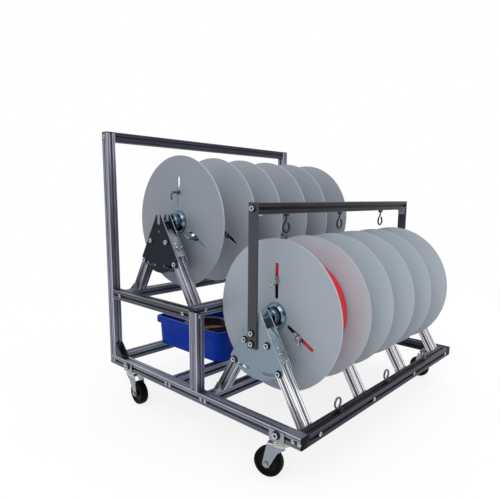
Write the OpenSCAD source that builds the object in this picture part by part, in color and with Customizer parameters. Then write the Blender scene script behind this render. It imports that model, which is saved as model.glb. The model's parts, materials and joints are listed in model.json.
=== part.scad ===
// Wire spool cart: an aluminium-extrusion trolley on four swivel casters.
// It carries two rows of three wire reels, one row on the base and one on a raised deck.
// X runs along the reel rows, Y from the front to the rear, Z up from the floor.

/* [Reels] */
// Diameter of a reel's side discs
reel_d = 410; // [340:1:440]
// Width of a reel over the outside of its discs
reel_w = 140; // [110:1:180]
// Thickness of a side disc
disc_t = 4; // [2:0.5:6]
// Diameter of the axle rod
axle_d = 12; // [8:1:16]
// Distance of the spreader rods from the axle
rod_r = 92; // [70:1:110]
// Diameter of a spreader rod
rod_d = 8; // [6:1:10]
// Outer diameter of the wire wound on the first front reel
coil_d = 278; // [240:1:380]

/* [Frame] */
// Side of the square extrusion
profile = 30; // [25:1:35]
// Height of the base rails' underside above the floor
rail_z = 107; // [105:1:135]
// Height of the deck's top above the base rails' underside
deck_h = 259; // [230:1:300]
// Height of the rear posts above the base rails' underside
post_h = 764; // [745:1:900]
// Gap between the left side rail and the first A-frame
left_gap = 29; // [12:1:60]
// Gap between the right side rail and the last A-frame
right_gap = 2; // [1:1:60]
// Gap from a cradle plate to the nearest reel disc
side_gap = 42.5; // [40:0.5:60]
// Least gap between the discs of the two rows
row_clear = 56; // [30:1:120]
// Gap below a disc to the rails it runs over
reel_clear = 22; // [10:1:60]
// Gap above a front disc to the arch rail
arch_clear = 63; // [40:1:120]

/* [A-frames and cradles] */
// Lean of the legs from the vertical
a_lean = 31; // [28:1:33]
// Thickness of a cradle plate
plate_t = 3; // [2:0.5:4]
// Diameter of the cradle bolts
bolt_d = 8; // [6:1:8]
// Width of the brake straps
strap_w = 26; // [18:1:28]

/* [Arch and guides] */
// Thickness of the arch's flat posts
arch_post_t = 5; // [3:0.5:8]
// Outer radius of a wire guide's eye
eye_r = 16; // [12:0.5:20]
// Diameter of a wire guide's rod
eye_wire = 5.5; // [4:0.5:7]

/* [Casters] */
// Diameter of a caster wheel
wheel_d = 75; // [60:1:80]
// Width of a caster wheel
wheel_w = 25; // [18:1:30]
// Trail of the wheel behind its swivel axis
trail = 34; // [24:1:40]

/* [Tote] */
// Length of the tote along the reel rows
tote_w = 460; // [300:1:520]
// Depth of the tote from front to rear
tote_d = 345; // [300:1:360]
// Height of the tote
tote_h = 104; // [80:1:150]

/* [Hidden] */

// Fine and coarse circles
$fn = 48;
// Overlap that keeps two shapes of one cut from sharing a face
eps = 0.5;

// Rows and bays, all from the reel's size and the gaps round it
reel_r = reel_d / 2;
a_frames = 4;
a_pitch = profile + 2 * plate_t + reel_w + 2 * side_gap;
first_a_x = profile + left_gap;
cart_w = 2 * profile + left_gap + right_gap + profile + (a_frames - 1) * a_pitch;
axle_h = reel_r + reel_clear;
apex_over = 36;
foot_half = (axle_h + apex_over) * tan(a_lean);
foot_gap = 6;
leg_seat = foot_half + foot_gap;
row_step = sqrt(pow(reel_d + row_clear, 2) - pow(deck_h - profile, 2));
front_row_y = profile + leg_seat;
rear_row_y = front_row_y + row_step;
rear_reach = reel_r + 10;
cart_d = rear_row_y + rear_reach;
base_top = rail_z + profile;
deck_top = rail_z + deck_h;
screw_r = 6;
screw_pair = 9;
screw_h = 2.6;
front_overhang = max(screw_h, reel_r - front_row_y);
mid_y = (cart_d + screw_h - front_overhang) / 2;

// Cross rails and posts
third_rail_y = front_row_y + foot_half - profile;
deck_front_y = rear_row_y - leg_seat - profile;
deck_rear_y = rear_row_y + foot_half - profile;
post_lead = 13;
mid_post_y = deck_front_y - profile - post_lead;
cap_t = 3;

// Extrusion section
slot_w = 8.2;
lip_t = 2.2;
slot_in_w = 16.5;
slot_depth = 8.4;
slot_floor_w = 9.2;
core_bore = 6.8;
edge_r = 1.5;

// Legs and cradle plates, measured from the rail's top and the row's centre
leg_top = axle_h - 45;
leg_across = profile / cos(a_lean);
plate_margin = 3.5;
plate_top = axle_h + 24;
slot_play = 0.1;
corner_h = 115;
belly_h = 72;
upper_bolt_h = leg_top - 12;
lower_bolt_h = upper_bolt_h - 64;
slot_sweep = 41;
spare_hole_h = axle_h - 27;
spare_hole_r = 3.5;
bolt_r = bolt_d / 2 - 0.1;
hole_r = bolt_d / 2 + 0.1;
head_r = 7.6;
head_h = 5;
washer_r = 10;
washer_t = 1.6;

// Arch
arch_shift = 10;
arch_y = front_row_y + arch_shift;
arch_z = base_top + axle_h + reel_r + arch_clear;
arch_post_play = 2;
arch_post_w = min(profile,
    2 * (leg_mid(upper_bolt_h) - washer_r - arch_shift - arch_post_play));
arch_left_x = first_a_x - plate_t;
arch_right_x = first_a_x + (a_frames - 1) * a_pitch + profile + plate_t;
post_bolt_h = [upper_bolt_h - 5, upper_bolt_h + 23];
post_foot_h = upper_bolt_h - 18;

// Brake straps
strap_t = 2.5;
strap_low = axle_h - 99;
strap_bend = axle_h - 43;
strap_tongue = 34;
tongue_rise = 37;
brake_screw_h = axle_h - 77;

// Reel parts
bore_play = 0.05;
flange_r = 35;
flange_t = 12;
collar_r = 25;
collar_l = 18;
spigot_r = 15;
neck_r = 21;
grip_w = 9;
grip_deep = 6;
tube_r = 22;
rod_slot_w = rod_d + 4;
rod_slot_in = rod_r - 42;
rod_slot_out = rod_r + 44;
wing_out = 17;
long_out = 30;
short_out = 12;
bend_r = 8;
handle_l = 14;

// Wire guides
guide_shift = -22;
stem_h = 10;
nut_h = 6;
nut_r = 7;
drop_l = 21;
drop_gap = 11;
guide_tilt = 32;

// Casters
caster_in = [72, 110];
caster_x = 19;
caster_plate_t = 3;
race_r = 24;
race_h = 9;
race_gap = 0.4;
fork_t = 3;
fork_in_w = wheel_w + 3;
caster_axle_r = 4;
kingpin_r = 5;
wheel_z = wheel_d / 2;
fork_z = rail_z - caster_plate_t - race_h - race_gap;
caster_turn = [15, 15, 176, 176];

// Tote
tote_x = 180;
tote_wall = 2.5;
tote_taper = 14;
tote_floor = 3;
rim_w = 9;
rim_drop = 22;
rim_corner = 26;
tote_back = 3;
hank_r = 95;
hank_w = 34;
hank_h = 50;
top_hank_h = 34;
hank_side = 12;
hank_gap = 0.3;
tote_rail_y = cart_d - tote_back - tote_d + tote_taper - 1;

function bay_x(i) = first_a_x + profile + plate_t + side_gap + reel_w / 2 + i * a_pitch;
function frame_x(i) = first_a_x + profile / 2 + i * a_pitch;
function leg_half(h) = foot_half - tan(a_lean) * h;
function leg_mid(h) = leg_half(h) - leg_across / 2;

// Moves the cart so that its box is centred over the origin
module place() {
    translate([-cart_w / 2, -mid_y, 0]) children();
}

// Turns a flat outline in (Y, Z) to stand across the X axis
module across_x(t) {
    rotate([90, 0, 90]) linear_extrude(height = t) children();
}

module rounded_square(w, d, r) {
    translate([r, 0]) square([w - 2 * r, d]);
    translate([0, r]) square([w, d - 2 * r]);
    for (x = [r, w - r], y = [r, d - r]) translate([x, y]) circle(r = r, $fn = 24);
}

// One T-slot, cut from the middle of the side at +Y
module slot_cut() {
    half = profile / 2;
    polygon([
        [-slot_w / 2, half + eps], [-slot_w / 2, half - lip_t],
        [-slot_in_w / 2, half - lip_t], [-slot_in_w / 2, half - lip_t - 2.2],
        [-slot_floor_w / 2, half - slot_depth], [slot_floor_w / 2, half - slot_depth],
        [slot_in_w / 2, half - lip_t - 2.2], [slot_in_w / 2, half - lip_t],
        [slot_w / 2, half - lip_t], [slot_w / 2, half + eps]
    ]);
}

// Section of the extrusion: rounded square, four T-slots, core bore
module section() {
    difference() {
        translate([-profile / 2, -profile / 2]) rounded_square(profile, profile, edge_r);
        for (a = [0:90:270]) rotate(a) slot_cut();
        circle(d = core_bore);
    }
}

// Extrusion along X, Y or Z from a low corner
module rail_x(at, l) {
    translate(at + [0, profile / 2, profile / 2]) rotate([0, 90, 0])
        linear_extrude(height = l) section();
}

module rail_y(at, l) {
    translate(at + [profile / 2, l, profile / 2]) rotate([90, 0, 0])
        linear_extrude(height = l) section();
}

module rail_z_up(at, l) {
    translate(at + [profile / 2, profile / 2, 0]) linear_extrude(height = l) section();
}

// Button-head screw on a face; its head points along +Z
module button_screw(r = screw_r, h = screw_h) {
    difference() {
        union() {
            cylinder(r = r, h = h * 0.4);
            translate([0, 0, h * 0.4]) cylinder(r1 = r, r2 = r * 0.6, h = h * 0.6);
        }
        translate([0, 0, h * 0.3]) cylinder(r = r * 0.36, h = h, $fn = 6);
    }
}

// Hexagon bolt: washer and head stand on the XY plane, the shank points along -Z
module hex_bolt(shank, r = bolt_r) {
    cylinder(r = washer_r, h = washer_t);
    translate([0, 0, washer_t]) cylinder(r = head_r, h = head_h, $fn = 6);
    translate([0, 0, -shank]) cylinder(r = r, h = shank + eps);
}

// Wing nut or wing screw head standing on the XY plane
module wing_head(r = 6.4, h = 8.5) {
    cylinder(r = r, h = h);
    for (s = [-1, 1]) {
        translate([s * r * 1.45, 0, h]) rotate([90, 0, 0])
            cylinder(r = r, h = 2, center = true);
    }
}

module base_side_rails() {
    color("silver") place() for (x = [0, cart_w - profile]) {
        rail_y([x, cap_t, rail_z], cart_d - 2 * cap_t);
    }
}

module base_cross_rails() {
    color("slategray") place() {
        for (y = [0, third_rail_y, tote_rail_y, cart_d - profile]) {
            rail_x([profile, y, rail_z], cart_w - 2 * profile);
        }
    }
}

module rear_posts() {
    color("silver") place() for (x = [0, cart_w - profile]) {
        rail_z_up([x, cart_d - profile, base_top], post_h - profile - cap_t);
    }
}

module rear_top_rail() {
    color("dimgray") place()
        rail_x([profile, cart_d - profile, rail_z + post_h - profile], cart_w - 2 * profile);
}

module mid_posts() {
    color("silver") place() for (x = [0, cart_w - profile]) {
        rail_z_up([x, mid_post_y, base_top], deck_h - profile - cap_t);
    }
}

module deck_side_rails() {
    start = mid_post_y + profile;
    color("dimgray") place() for (x = [0, cart_w - profile]) {
        rail_y([x, start, deck_top - profile], cart_d - profile - start);
    }
}

module deck_cross_rails() {
    color("slategray") place() for (y = [deck_front_y, deck_rear_y]) {
        rail_x([profile, y, deck_top - profile], cart_w - 2 * profile);
    }
}

// One A-frame's pair of legs. The front leg drops behind the front cross rail
// and is cut flat against it; the rear leg stands on the next rail.
module a_legs(x, row_y, top) {
    reach = leg_mid(0);
    run = (leg_top + 2 * profile) / cos(a_lean);
    front_cut = [profile + 2 * eps, leg_seat, leg_top + profile];
    rear_cut = [profile + 2 * eps, leg_seat, leg_top];
    intersection() {
        translate([x, row_y - reach, top]) rotate([-a_lean, 0, 0])
            translate([0, 0, -2 * profile]) linear_extrude(height = run + 2 * profile) section();
        translate([x - profile / 2 - eps, row_y - leg_seat, top - profile]) cube(front_cut);
    }
    intersection() {
        translate([x, row_y + reach, top]) rotate([a_lean, 0, 0])
            translate([0, 0, -2 * profile]) linear_extrude(height = run + 2 * profile) section();
        translate([x - profile / 2 - eps, row_y, top]) cube(rear_cut);
    }
}

module front_a_legs() {
    color("gainsboro") place() for (i = [0:a_frames - 1]) {
        a_legs(frame_x(i), front_row_y, base_top);
    }
}

module rear_a_legs() {
    color("gainsboro") place() for (i = [0:a_frames - 1]) {
        a_legs(frame_x(i), rear_row_y, deck_top);
    }
}

// Small angle bracket between a rear leg's side and the rail that it stands on
module leg_bracket() {
    size = 20;
    t = 3;
    depth = 18;
    translate([-size, -depth / 2, 0]) cube([size, depth, t]);
    translate([-t, -depth / 2, 0]) cube([t, depth, size]);
    for (y = [-depth / 2, depth / 2 - 2]) translate([0, y + 2, 0]) rotate([90, 0, 0])
        linear_extrude(height = 2) polygon([[-size, 0], [0, 0], [0, size]]);
    translate([-size / 2 - 2, 0, t]) button_screw(4, 2.4);
}

module leg_brackets() {
    color("lightgray") place() for (i = [0:a_frames - 1]) {
        side = i == 0 ? -1 : 1;
        for (row = [[front_row_y, base_top], [rear_row_y, deck_top]]) {
            translate([frame_x(i) - profile / 2, row[0] + leg_mid(0) - 2, row[1]]) leg_bracket();
        }
    }
}

// Outline of a cradle plate in (Y, Z), from the row's centre and the rail's top
module cradle_outline() {
    rise = corner_h - belly_h;
    edge = leg_half(corner_h) + plate_margin;
    belly_r = (pow(edge, 2) + pow(rise, 2)) / (2 * rise);
    low = belly_h - 1;
    difference() {
        intersection() {
            polygon([
                [-leg_half(plate_top) - plate_margin, plate_top],
                [leg_half(plate_top) + plate_margin, plate_top],
                [leg_half(low) + plate_margin, low], [-leg_half(low) - plate_margin, low]
            ]);
            translate([0, belly_h + belly_r]) circle(r = belly_r, $fn = 96);
        }
        translate([0, axle_h]) circle(d = axle_d + 2 * slot_play);
        translate([-axle_d / 2 - slot_play, axle_h])
            square([axle_d + 2 * slot_play, plate_top - axle_h + eps]);
        translate([0, spare_hole_h]) circle(r = spare_hole_r);
        for (s = [-1, 1]) {
            translate([s * leg_mid(upper_bolt_h), upper_bolt_h]) circle(r = hole_r);
        }
    }
}

// Arc slot for the lower bolt, swept about the upper bolt so that the leg's lean can be set
module lean_slot(s) {
    dy = leg_mid(lower_bolt_h) - leg_mid(upper_bolt_h);
    dz = upper_bolt_h - lower_bolt_h;
    r = sqrt(dy * dy + dz * dz);
    start = s > 0 ? -atan2(dz, dy) - slot_sweep : -180 + atan2(dz, dy);
    translate([-eps, s * leg_mid(upper_bolt_h), upper_bolt_h]) rotate([90, 0, 90]) {
        rotate(start) rotate_extrude(angle = slot_sweep)
            translate([r - hole_r, 0]) square([2 * hole_r, plate_t + 2 * eps]);
        for (a = [start, start + slot_sweep]) {
            rotate(a) translate([r, 0, 0]) cylinder(r = hole_r, h = plate_t + 2 * eps);
        }
    }
}

module cradle_plate(posted = false) {
    difference() {
        across_x(plate_t) cradle_outline();
        for (s = [-1, 1]) lean_slot(s);
        if (posted) for (h = post_bolt_h) {
            translate([-eps, arch_shift, h]) rotate([0, 90, 0])
                cylinder(r = hole_r, h = plate_t + 2 * eps);
        }
    }
}

// Plates on both sides of every A-frame of a row
module cradle_row(row_y, top, posted) {
    for (i = [0:a_frames - 1], side = [0, 1]) {
        x = frame_x(i) - profile / 2 - plate_t + side * (profile + plate_t);
        outer = (i == 0 && side == 0) || (i == a_frames - 1 && side == 1);
        translate([x, row_y, top]) cradle_plate(posted && outer);
    }
}

module front_cradle_plates() {
    color("lightsteelblue") place() cradle_row(front_row_y, base_top, true);
}

module rear_cradle_plates() {
    color("darkslategray") place() cradle_row(rear_row_y, deck_top, false);
}

// Four bolts hold each plate to the two legs' side slots
module plate_bolts(out) {
    for (s = [-1, 1], h = [upper_bolt_h, lower_bolt_h]) {
        translate([0, s * leg_mid(h), h]) rotate([0, out * 90, 0]) hex_bolt(plate_t + 6);
    }
}

module cradle_bolts() {
    color("lightgray") place() {
        for (row = [[front_row_y, base_top], [rear_row_y, deck_top]], i = [0:a_frames - 1]) {
            for (out = [-1, 1]) {
                translate([frame_x(i) + out * (profile / 2 + plate_t), row[0], row[1]])
                    plate_bolts(out);
            }
        }
        for (end = [[arch_left_x - arch_post_t, -1], [arch_right_x + arch_post_t, 1]]) {
            for (h = post_bolt_h) translate([end[0], arch_y, base_top + h])
                rotate([0, end[1] * 90, 0]) {
                    hex_bolt(arch_post_t + plate_t + 5);
                    translate([0, 0, -arch_post_t - plate_t - 5])
                        cylinder(r = head_r, h = 5, $fn = 6);
                }
            translate([end[0], arch_y, arch_z + profile / 2]) rotate([0, end[1] * 90, 0])
                hex_bolt(arch_post_t + 12, core_bore / 2 - 0.1);
        }
    }
}

// Bent strap on the front leg. Its tongue reaches in under the axle.
module brake_strap() {
    run = strap_bend - strap_low;
    bend = [-leg_half(strap_bend), strap_bend];
    low = bend - run * [tan(a_lean), 1];
    tip = bend + strap_tongue * [cos(tongue_rise), sin(tongue_rise)];
    flat_out = strap_t * [-cos(a_lean), sin(a_lean)];
    tongue_out = strap_t * [-sin(tongue_rise), cos(tongue_rise)];
    translate([-strap_w / 2, 0, 0]) across_x(strap_w) polygon([
        low, bend, tip, tip + tongue_out, bend + tongue_out, bend + flat_out, low + flat_out
    ]);
}

module brake_straps() {
    color("silver") place() {
        for (row = [[front_row_y, base_top], [rear_row_y, deck_top]], i = [0:a_frames - 2]) {
            translate([frame_x(i), row[0], row[1]]) brake_strap();
        }
    }
}

module brake_screws() {
    color("whitesmoke") place() {
        for (row = [[front_row_y, base_top], [rear_row_y, deck_top]], i = [0:a_frames - 2]) {
            translate([frame_x(i), row[0] - leg_half(brake_screw_h), row[1] + brake_screw_h])
                rotate([90 - a_lean, 0, 0]) {
                    translate([0, 0, strap_t]) wing_head();
                    translate([0, 16, strap_t]) button_screw(4.5, 3);
                }
        }
    }
}

// Flat post with two bolt holes at its foot, on the outer cradle plate, and one at its top
module arch_post() {
    foot = base_top + post_foot_h;
    difference() {
        translate([0, -arch_post_w / 2, foot])
            cube([arch_post_t, arch_post_w, arch_z + profile - foot]);
        for (h = post_bolt_h) translate([-eps, 0, base_top + h]) rotate([0, 90, 0])
            cylinder(r = hole_r, h = arch_post_t + 2 * eps);
        translate([-eps, 0, arch_z + profile / 2]) rotate([0, 90, 0])
            cylinder(d = core_bore, h = arch_post_t + 2 * eps);
    }
}

module arch_posts() {
    color("dimgray") place() {
        translate([arch_left_x - arch_post_t, arch_y, 0]) arch_post();
        translate([arch_right_x, arch_y, 0]) arch_post();
    }
}

module arch_rail() {
    color("dimgray") place()
        rail_x([arch_left_x, arch_y - profile / 2, arch_z], arch_right_x - arch_left_x);
}

// Corner angle below each end of the arch rail, inside its post
module arch_bracket() {
    size = 18;
    t = 3;
    depth = 22;
    translate([0, -depth / 2, -size]) cube([t, depth, size]);
    translate([0, -depth / 2, -t]) cube([size, depth, t]);
    translate([t, 0, -size / 2 - t / 2]) rotate([0, 90, 0]) button_screw(4, 2.4);
}

module arch_brackets() {
    color("silver") place() {
        translate([arch_left_x, arch_y, arch_z]) arch_bracket();
        translate([arch_right_x, arch_y, arch_z]) mirror([1, 0, 0]) arch_bracket();
    }
}

// Foot of a wire guide: washer, nut and the stem, tilted where it leaves the nut
module guide_stem(tilt) {
    cylinder(r = nut_r + 1.5, h = 1.5);
    translate([0, 0, 1.5]) cylinder(r = nut_r, h = nut_h, $fn = 6);
    translate([0, 0, nut_h]) rotate([0, -tilt, 0]) {
        sphere(d = eye_wire);
        cylinder(d = eye_wire, h = stem_h + 1);
        children();
    }
}

// Round eye whose wire stops short of the stem
module round_eye() {
    translate([0, 0, stem_h + eye_r - eye_wire / 2]) rotate([90, 0, 0]) rotate(-90)
        rotate_extrude(angle = 318) translate([eye_r - eye_wire / 2, 0]) circle(d = eye_wire);
}

// Drop-shaped eye: two straight sides run from the stem onto a round bow,
// and the side that ends free stops short of the stem
module drop_eye() {
    bow_r = eye_r - eye_wire / 2;
    side_d = eye_wire - 0.4;
    bow_seat = 1.5;
    half_turn = acos(bow_r / drop_l);
    side_l = sqrt(drop_l * drop_l - bow_r * bow_r);
    translate([0, 0, stem_h]) {
        sphere(d = eye_wire);
        translate([0, 0, drop_l]) rotate([90, 0, 0]) rotate(half_turn - 90)
            rotate_extrude(angle = 360 - 2 * half_turn) translate([bow_r, 0])
                circle(d = eye_wire);
        rotate([0, half_turn - 90, 0]) cylinder(d = side_d, h = side_l + bow_seat);
        rotate([0, 90 - half_turn, 0]) translate([0, 0, drop_gap])
            cylinder(d = side_d, h = side_l + bow_seat - drop_gap);
    }
}

module upper_wire_guides() {
    $fn = 32;
    color("whitesmoke") place() for (i = [0:a_frames - 2]) {
        translate([bay_x(i) + guide_shift, arch_y, arch_z]) rotate([180, 0, 0])
            guide_stem(0) drop_eye();
    }
}

module lower_wire_guides() {
    $fn = 32;
    color("whitesmoke") place() for (i = [0:a_frames - 2]) {
        translate([bay_x(i) + guide_shift, profile / 2, base_top])
            guide_stem(guide_tilt) round_eye();
    }
}

module cap(t) {
    linear_extrude(height = t) translate([-profile / 2, -profile / 2])
        rounded_square(profile, profile, 2.5);
}

module end_caps() {
    half = profile / 2;
    color("black") place() for (x = [half, cart_w - half]) {
        translate([x, cap_t, rail_z + half]) rotate([90, 0, 0]) cap(cap_t);
        translate([x, cart_d, rail_z + half]) rotate([90, 0, 0]) cap(cap_t);
        translate([x, cart_d - half, rail_z + post_h - cap_t]) cap(cap_t);
        translate([x, mid_post_y + half, deck_top - cap_t]) cap(cap_t);
    }
}

// Die-cast corner gusset with two ribs, between the side rail and the rear post
module gusset() {
    long = 40;
    tall = 45;
    w = 26;
    t = 4;
    translate([-w / 2, -long, 0]) cube([w, long, t]);
    translate([-w / 2, -t, 0]) cube([w, t, tall]);
    for (x = [-w / 2, w / 2 - t]) translate([x, 0, 0]) across_x(t)
        polygon([[-long, 0], [0, 0], [0, tall], [-t, tall], [-long, t]]);
    translate([0, -t, tall / 2 + 4]) rotate([90, 0, 0]) button_screw(6, 4);
    translate([0, -long / 2 - 4, t]) button_screw(6, 4);
}

module post_gussets() {
    color("black") place() for (x = [profile / 2, cart_w - profile / 2]) {
        translate([x, cart_d - profile, base_top]) gusset();
    }
}

// Screws seen in the outer slots, where the cross rails and deck meet the sides;
// a pair holds each base rail
module frame_screws() {
    half = profile / 2;
    color("lightgray") place() {
        for (end = [[0, -90], [cart_w, 90]]) {
            for (y = [half + 1, third_rail_y + half, tote_rail_y + half, cart_d - half - 1])
                for (s = [-screw_pair, screw_pair])
                    translate([end[0], y + s, rail_z + half]) rotate([0, end[1], 0])
                        button_screw();
            for (y = [deck_front_y + half, deck_rear_y + half])
                translate([end[0], y, deck_top - half]) rotate([0, end[1], 0]) button_screw();
            translate([end[0], cart_d - half, rail_z + post_h - half])
                rotate([0, end[1], 0]) button_screw();
        }
        for (x = [half, cart_w - half]) {
            translate([x, mid_post_y, deck_top - half]) rotate([90, 0, 0]) button_screw();
            translate([x, cart_d, deck_top - half]) rotate([-90, 0, 0]) button_screw();
        }
        for (i = [0:a_frames - 1]) {
            translate([frame_x(i), 0, rail_z + half]) rotate([90, 0, 0]) button_screw();
            translate([frame_x(i), deck_front_y, deck_top - half])
                rotate([90, 0, 0]) button_screw();
        }
    }
}

// Angle bracket bolted to the rail's outer side, with the fixed race and kingpin below it
module caster_bracket() {
    w = 46;
    up = 26;
    t = caster_plate_t;
    out = caster_x + race_r;
    below = race_h + race_gap + fork_t + race_gap;
    difference() {
        union() {
            translate([-t, -w / 2, -t]) cube([t, w, up + t]);
            translate([-t, -w / 2, -t]) cube([out + t, w, t]);
        }
        translate([-t - eps, 0, profile / 2]) rotate([0, 90, 0])
            cylinder(r = hole_r, h = t + 2 * eps);
    }
    translate([caster_x, 0, -t]) {
        rotate_extrude() polygon([
            [0, eps], [race_r - 2, eps], [race_r - 2, -1], [race_r, -2], [race_r, -4],
            [race_r - 2.5, -5], [race_r - 2.5, -race_h + 3], [race_r - 1, -race_h + 2],
            [race_r - 1, -race_h], [0, -race_h]
        ]);
        translate([0, 0, -below]) cylinder(r = kingpin_r, h = below);
        translate([0, 0, -below - 2]) cylinder(r1 = kingpin_r + 2.5, r2 = kingpin_r + 4, h = 2);
    }
}

// Places a caster part at corner c: 0 front left, 1 front right, 2 rear left, 3 rear right
module at_corner(c) {
    x = c % 2 == 0 ? 0 : cart_w;
    y = c < 2 ? caster_in[0] : cart_d - caster_in[1];
    translate([x, y, rail_z]) mirror([c % 2, 0, 0]) children();
}

module caster_brackets() {
    color("silver") place() for (c = [0:3]) at_corner(c) {
        caster_bracket();
        translate([-caster_plate_t, 0, profile / 2]) rotate([0, -90, 0])
            hex_bolt(caster_plate_t + 6);
    }
}

// Side plate of the fork in (Y, Z): Z is 0 at the fork's top, the axle lies behind and below
module fork_side() {
    drop = fork_z - wheel_z;
    boss = 10;
    difference() {
        union() {
            polygon([
                [-15, 0], [trail - 2, 0], [trail + boss, -drop + 1], [trail - boss, -drop - 2],
                [4, -22], [-15, -9]
            ]);
            translate([trail, -drop]) circle(r = boss);
        }
        translate([trail, -drop]) circle(r = caster_axle_r);
    }
}

module caster_fork(c) {
    drop = fork_z - wheel_z;
    half = fork_in_w / 2 + fork_t;
    color("silver") place() at_corner(c)
        translate([caster_x, 0, fork_z - rail_z]) rotate(caster_turn[c]) {
            difference() {
                union() {
                    translate([0, 0, -fork_t]) rotate_extrude() polygon([
                        [0, 0], [race_r - 2, 0], [race_r, 1.2], [race_r, fork_t],
                        [0, fork_t]
                    ]);
                    translate([-half, -15, -fork_t]) cube([2 * half, trail + 13, fork_t]);
                }
                translate([0, 0, -fork_t - eps])
                    cylinder(r = kingpin_r + bore_play, h = fork_t + 2 * eps);
            }
            for (x = [-half, fork_in_w / 2]) translate([x, 0, 0])
                across_x(fork_t) fork_side();
            translate([0, trail, -drop]) rotate([0, 90, 0]) {
                cylinder(r = caster_axle_r, h = 2 * half, center = true);
                for (s = [-1, 1]) translate([0, 0, s * (half + 2.5)])
                    cylinder(r = 6.5, h = 5, center = true, $fn = 6);
            }
        }
}

// Wheel with a rounded tread, a recessed web on each side and a bore
module caster_wheel(c) {
    r = wheel_d / 2;
    half = wheel_w / 2;
    bore = caster_axle_r + bore_play;
    color("black") place() at_corner(c)
        translate([caster_x, 0, wheel_z - rail_z]) rotate(caster_turn[c])
            translate([0, trail, 0]) rotate([0, 90, 0]) rotate_extrude($fn = 64)
                polygon([
                    [bore, -half - 1], [10, -half - 1], [10, -half + 4], [r - 12, -half + 4],
                    [r - 11, -half], [r - 3, -half], [r, -half + 5], [r, half - 5],
                    [r - 3, half], [r - 11, half], [r - 12, half - 4], [10, half - 4],
                    [10, half + 1], [bore, half + 1]
                ]);
}

// Tapered tray, wider at its rim, with round corners
module tray(grow, low, high) {
    r = 22;
    t = tote_taper;
    hull() {
        translate([t - grow, t - grow, low]) linear_extrude(height = 0.1)
            rounded_square(tote_w - 2 * t + 2 * grow, tote_d - 2 * t + 2 * grow, r);
        translate([rim_w - grow, rim_w - grow, high - 0.1]) linear_extrude(height = 0.1)
            rounded_square(tote_w - 2 * rim_w + 2 * grow, tote_d - 2 * rim_w + 2 * grow, r);
    }
}

// Outline band that follows the tote's rim, w wide
module rim_band(w) {
    difference() {
        rounded_square(tote_w, tote_d, rim_corner);
        translate([w, w]) rounded_square(tote_w - 2 * w, tote_d - 2 * w, rim_corner - w);
    }
}

module tote() {
    y = cart_d - tote_back - tote_d;
    color("royalblue") place() translate([tote_x, y, base_top]) {
        difference() {
            tray(0, 0, tote_h);
            tray(-tote_wall, tote_floor, tote_h + 1);
        }
        translate([0, 0, tote_h - tote_wall]) linear_extrude(height = tote_wall)
            rim_band(rim_w + tote_wall / 2);
        translate([0, 0, tote_h - rim_drop]) linear_extrude(height = rim_drop)
            rim_band(tote_wall);
    }
}

// Two hanks of cable stacked in the tote, each a plain ring of the hank's outer shape
module stored_cables() {
    seat = base_top + tote_floor + hank_gap;
    x = tote_x + tote_taper + hank_side + hank_r;
    y = cart_d - tote_back - tote_d / 2;
    color("goldenrod") place() translate([x, y, seat]) rotate_extrude($fn = 64)
        translate([hank_r - hank_w, 0]) rounded_square(hank_w, hank_h, 9);
    color("black") place() translate([x - 4, y + 6, seat + hank_h + hank_gap])
        rotate_extrude($fn = 64)
            translate([hank_r - hank_w - 4, 0]) rounded_square(hank_w, top_hank_h, 9);
}

// Axle rod between the middles of two A-frames, chamfered at both ends
module axle(i, row_y, top) {
    l = a_pitch - 4;
    r = axle_d / 2;
    color("silver") place() translate([bay_x(i) - l / 2, row_y, top + axle_h])
        rotate([0, 90, 0]) {
            cylinder(r1 = r - 1, r2 = r, h = 1);
            translate([0, 0, 1]) cylinder(r = r, h = l - 2);
            translate([0, 0, l - 1]) cylinder(r1 = r, r2 = r - 1, h = 1);
        }
}

// Flanged collar outside a disc: spigot through the disc, dished flange, then a neck and a
// barrel whose end is slotted across so that it can be gripped while the reel is wound
module hub_collar() {
    bore = axle_d / 2 + bore_play;
    end = flange_t + collar_l;
    difference() {
        rotate_extrude() polygon([
            [bore, -disc_t], [spigot_r, -disc_t], [spigot_r, 0], [flange_r, 0],
            [flange_r, flange_t * 0.4], [flange_r - 2.5, flange_t * 0.7],
            [collar_r + 3, flange_t], [neck_r, flange_t], [neck_r, flange_t + 3],
            [collar_r, flange_t + 4.5], [collar_r, end - 1.5], [collar_r - 1.5, end], [bore, end]
        ]);
        translate([-collar_r - eps, -grip_w / 2, end - grip_deep])
            cube([2 * collar_r + 2 * eps, grip_w, grip_deep + eps]);
        translate([0, 0, flange_t + collar_l / 2 + 1]) rotate([90, 0, 0])
            translate([0, 0, collar_r - 3]) cylinder(r = 2.5, h = 4);
    }
}

module hub(i, row_y, top) {
    half = reel_w / 2;
    inner = half - disc_t;
    color("lightsteelblue") place() translate([bay_x(i), row_y, top + axle_h])
        rotate([0, 90, 0]) {
            difference() {
                cylinder(r = tube_r, h = 2 * inner, center = true);
                cylinder(r = axle_d / 2 + bore_play, h = reel_w, center = true);
            }
            translate([0, 0, half]) hub_collar();
            mirror([0, 0, 1]) translate([0, 0, half]) hub_collar();
        }
}

// Side disc: round sheet with a centre hole and three radial slots
module disc() {
    difference() {
        cylinder(r = reel_r, h = disc_t, $fn = 128);
        translate([0, 0, -eps]) cylinder(r = spigot_r + slot_play, h = disc_t + 2 * eps);
        for (a = [180, 60, -60]) rotate(a) translate([0, 0, -eps]) {
            translate([rod_slot_in, -rod_slot_w / 2, 0])
                cube([rod_slot_out - rod_slot_in, rod_slot_w, disc_t + 2 * eps]);
            for (r = [rod_slot_in, rod_slot_out]) translate([r, 0, 0])
                cylinder(d = rod_slot_w, h = disc_t + 2 * eps);
        }
    }
}

module discs(i, row_y, top) {
    half = reel_w / 2;
    color("lightgray") place() translate([bay_x(i), row_y, top + axle_h])
        rotate([0, 90, 0]) for (z = [-half, half - disc_t]) translate([0, 0, z]) disc();
}

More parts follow.
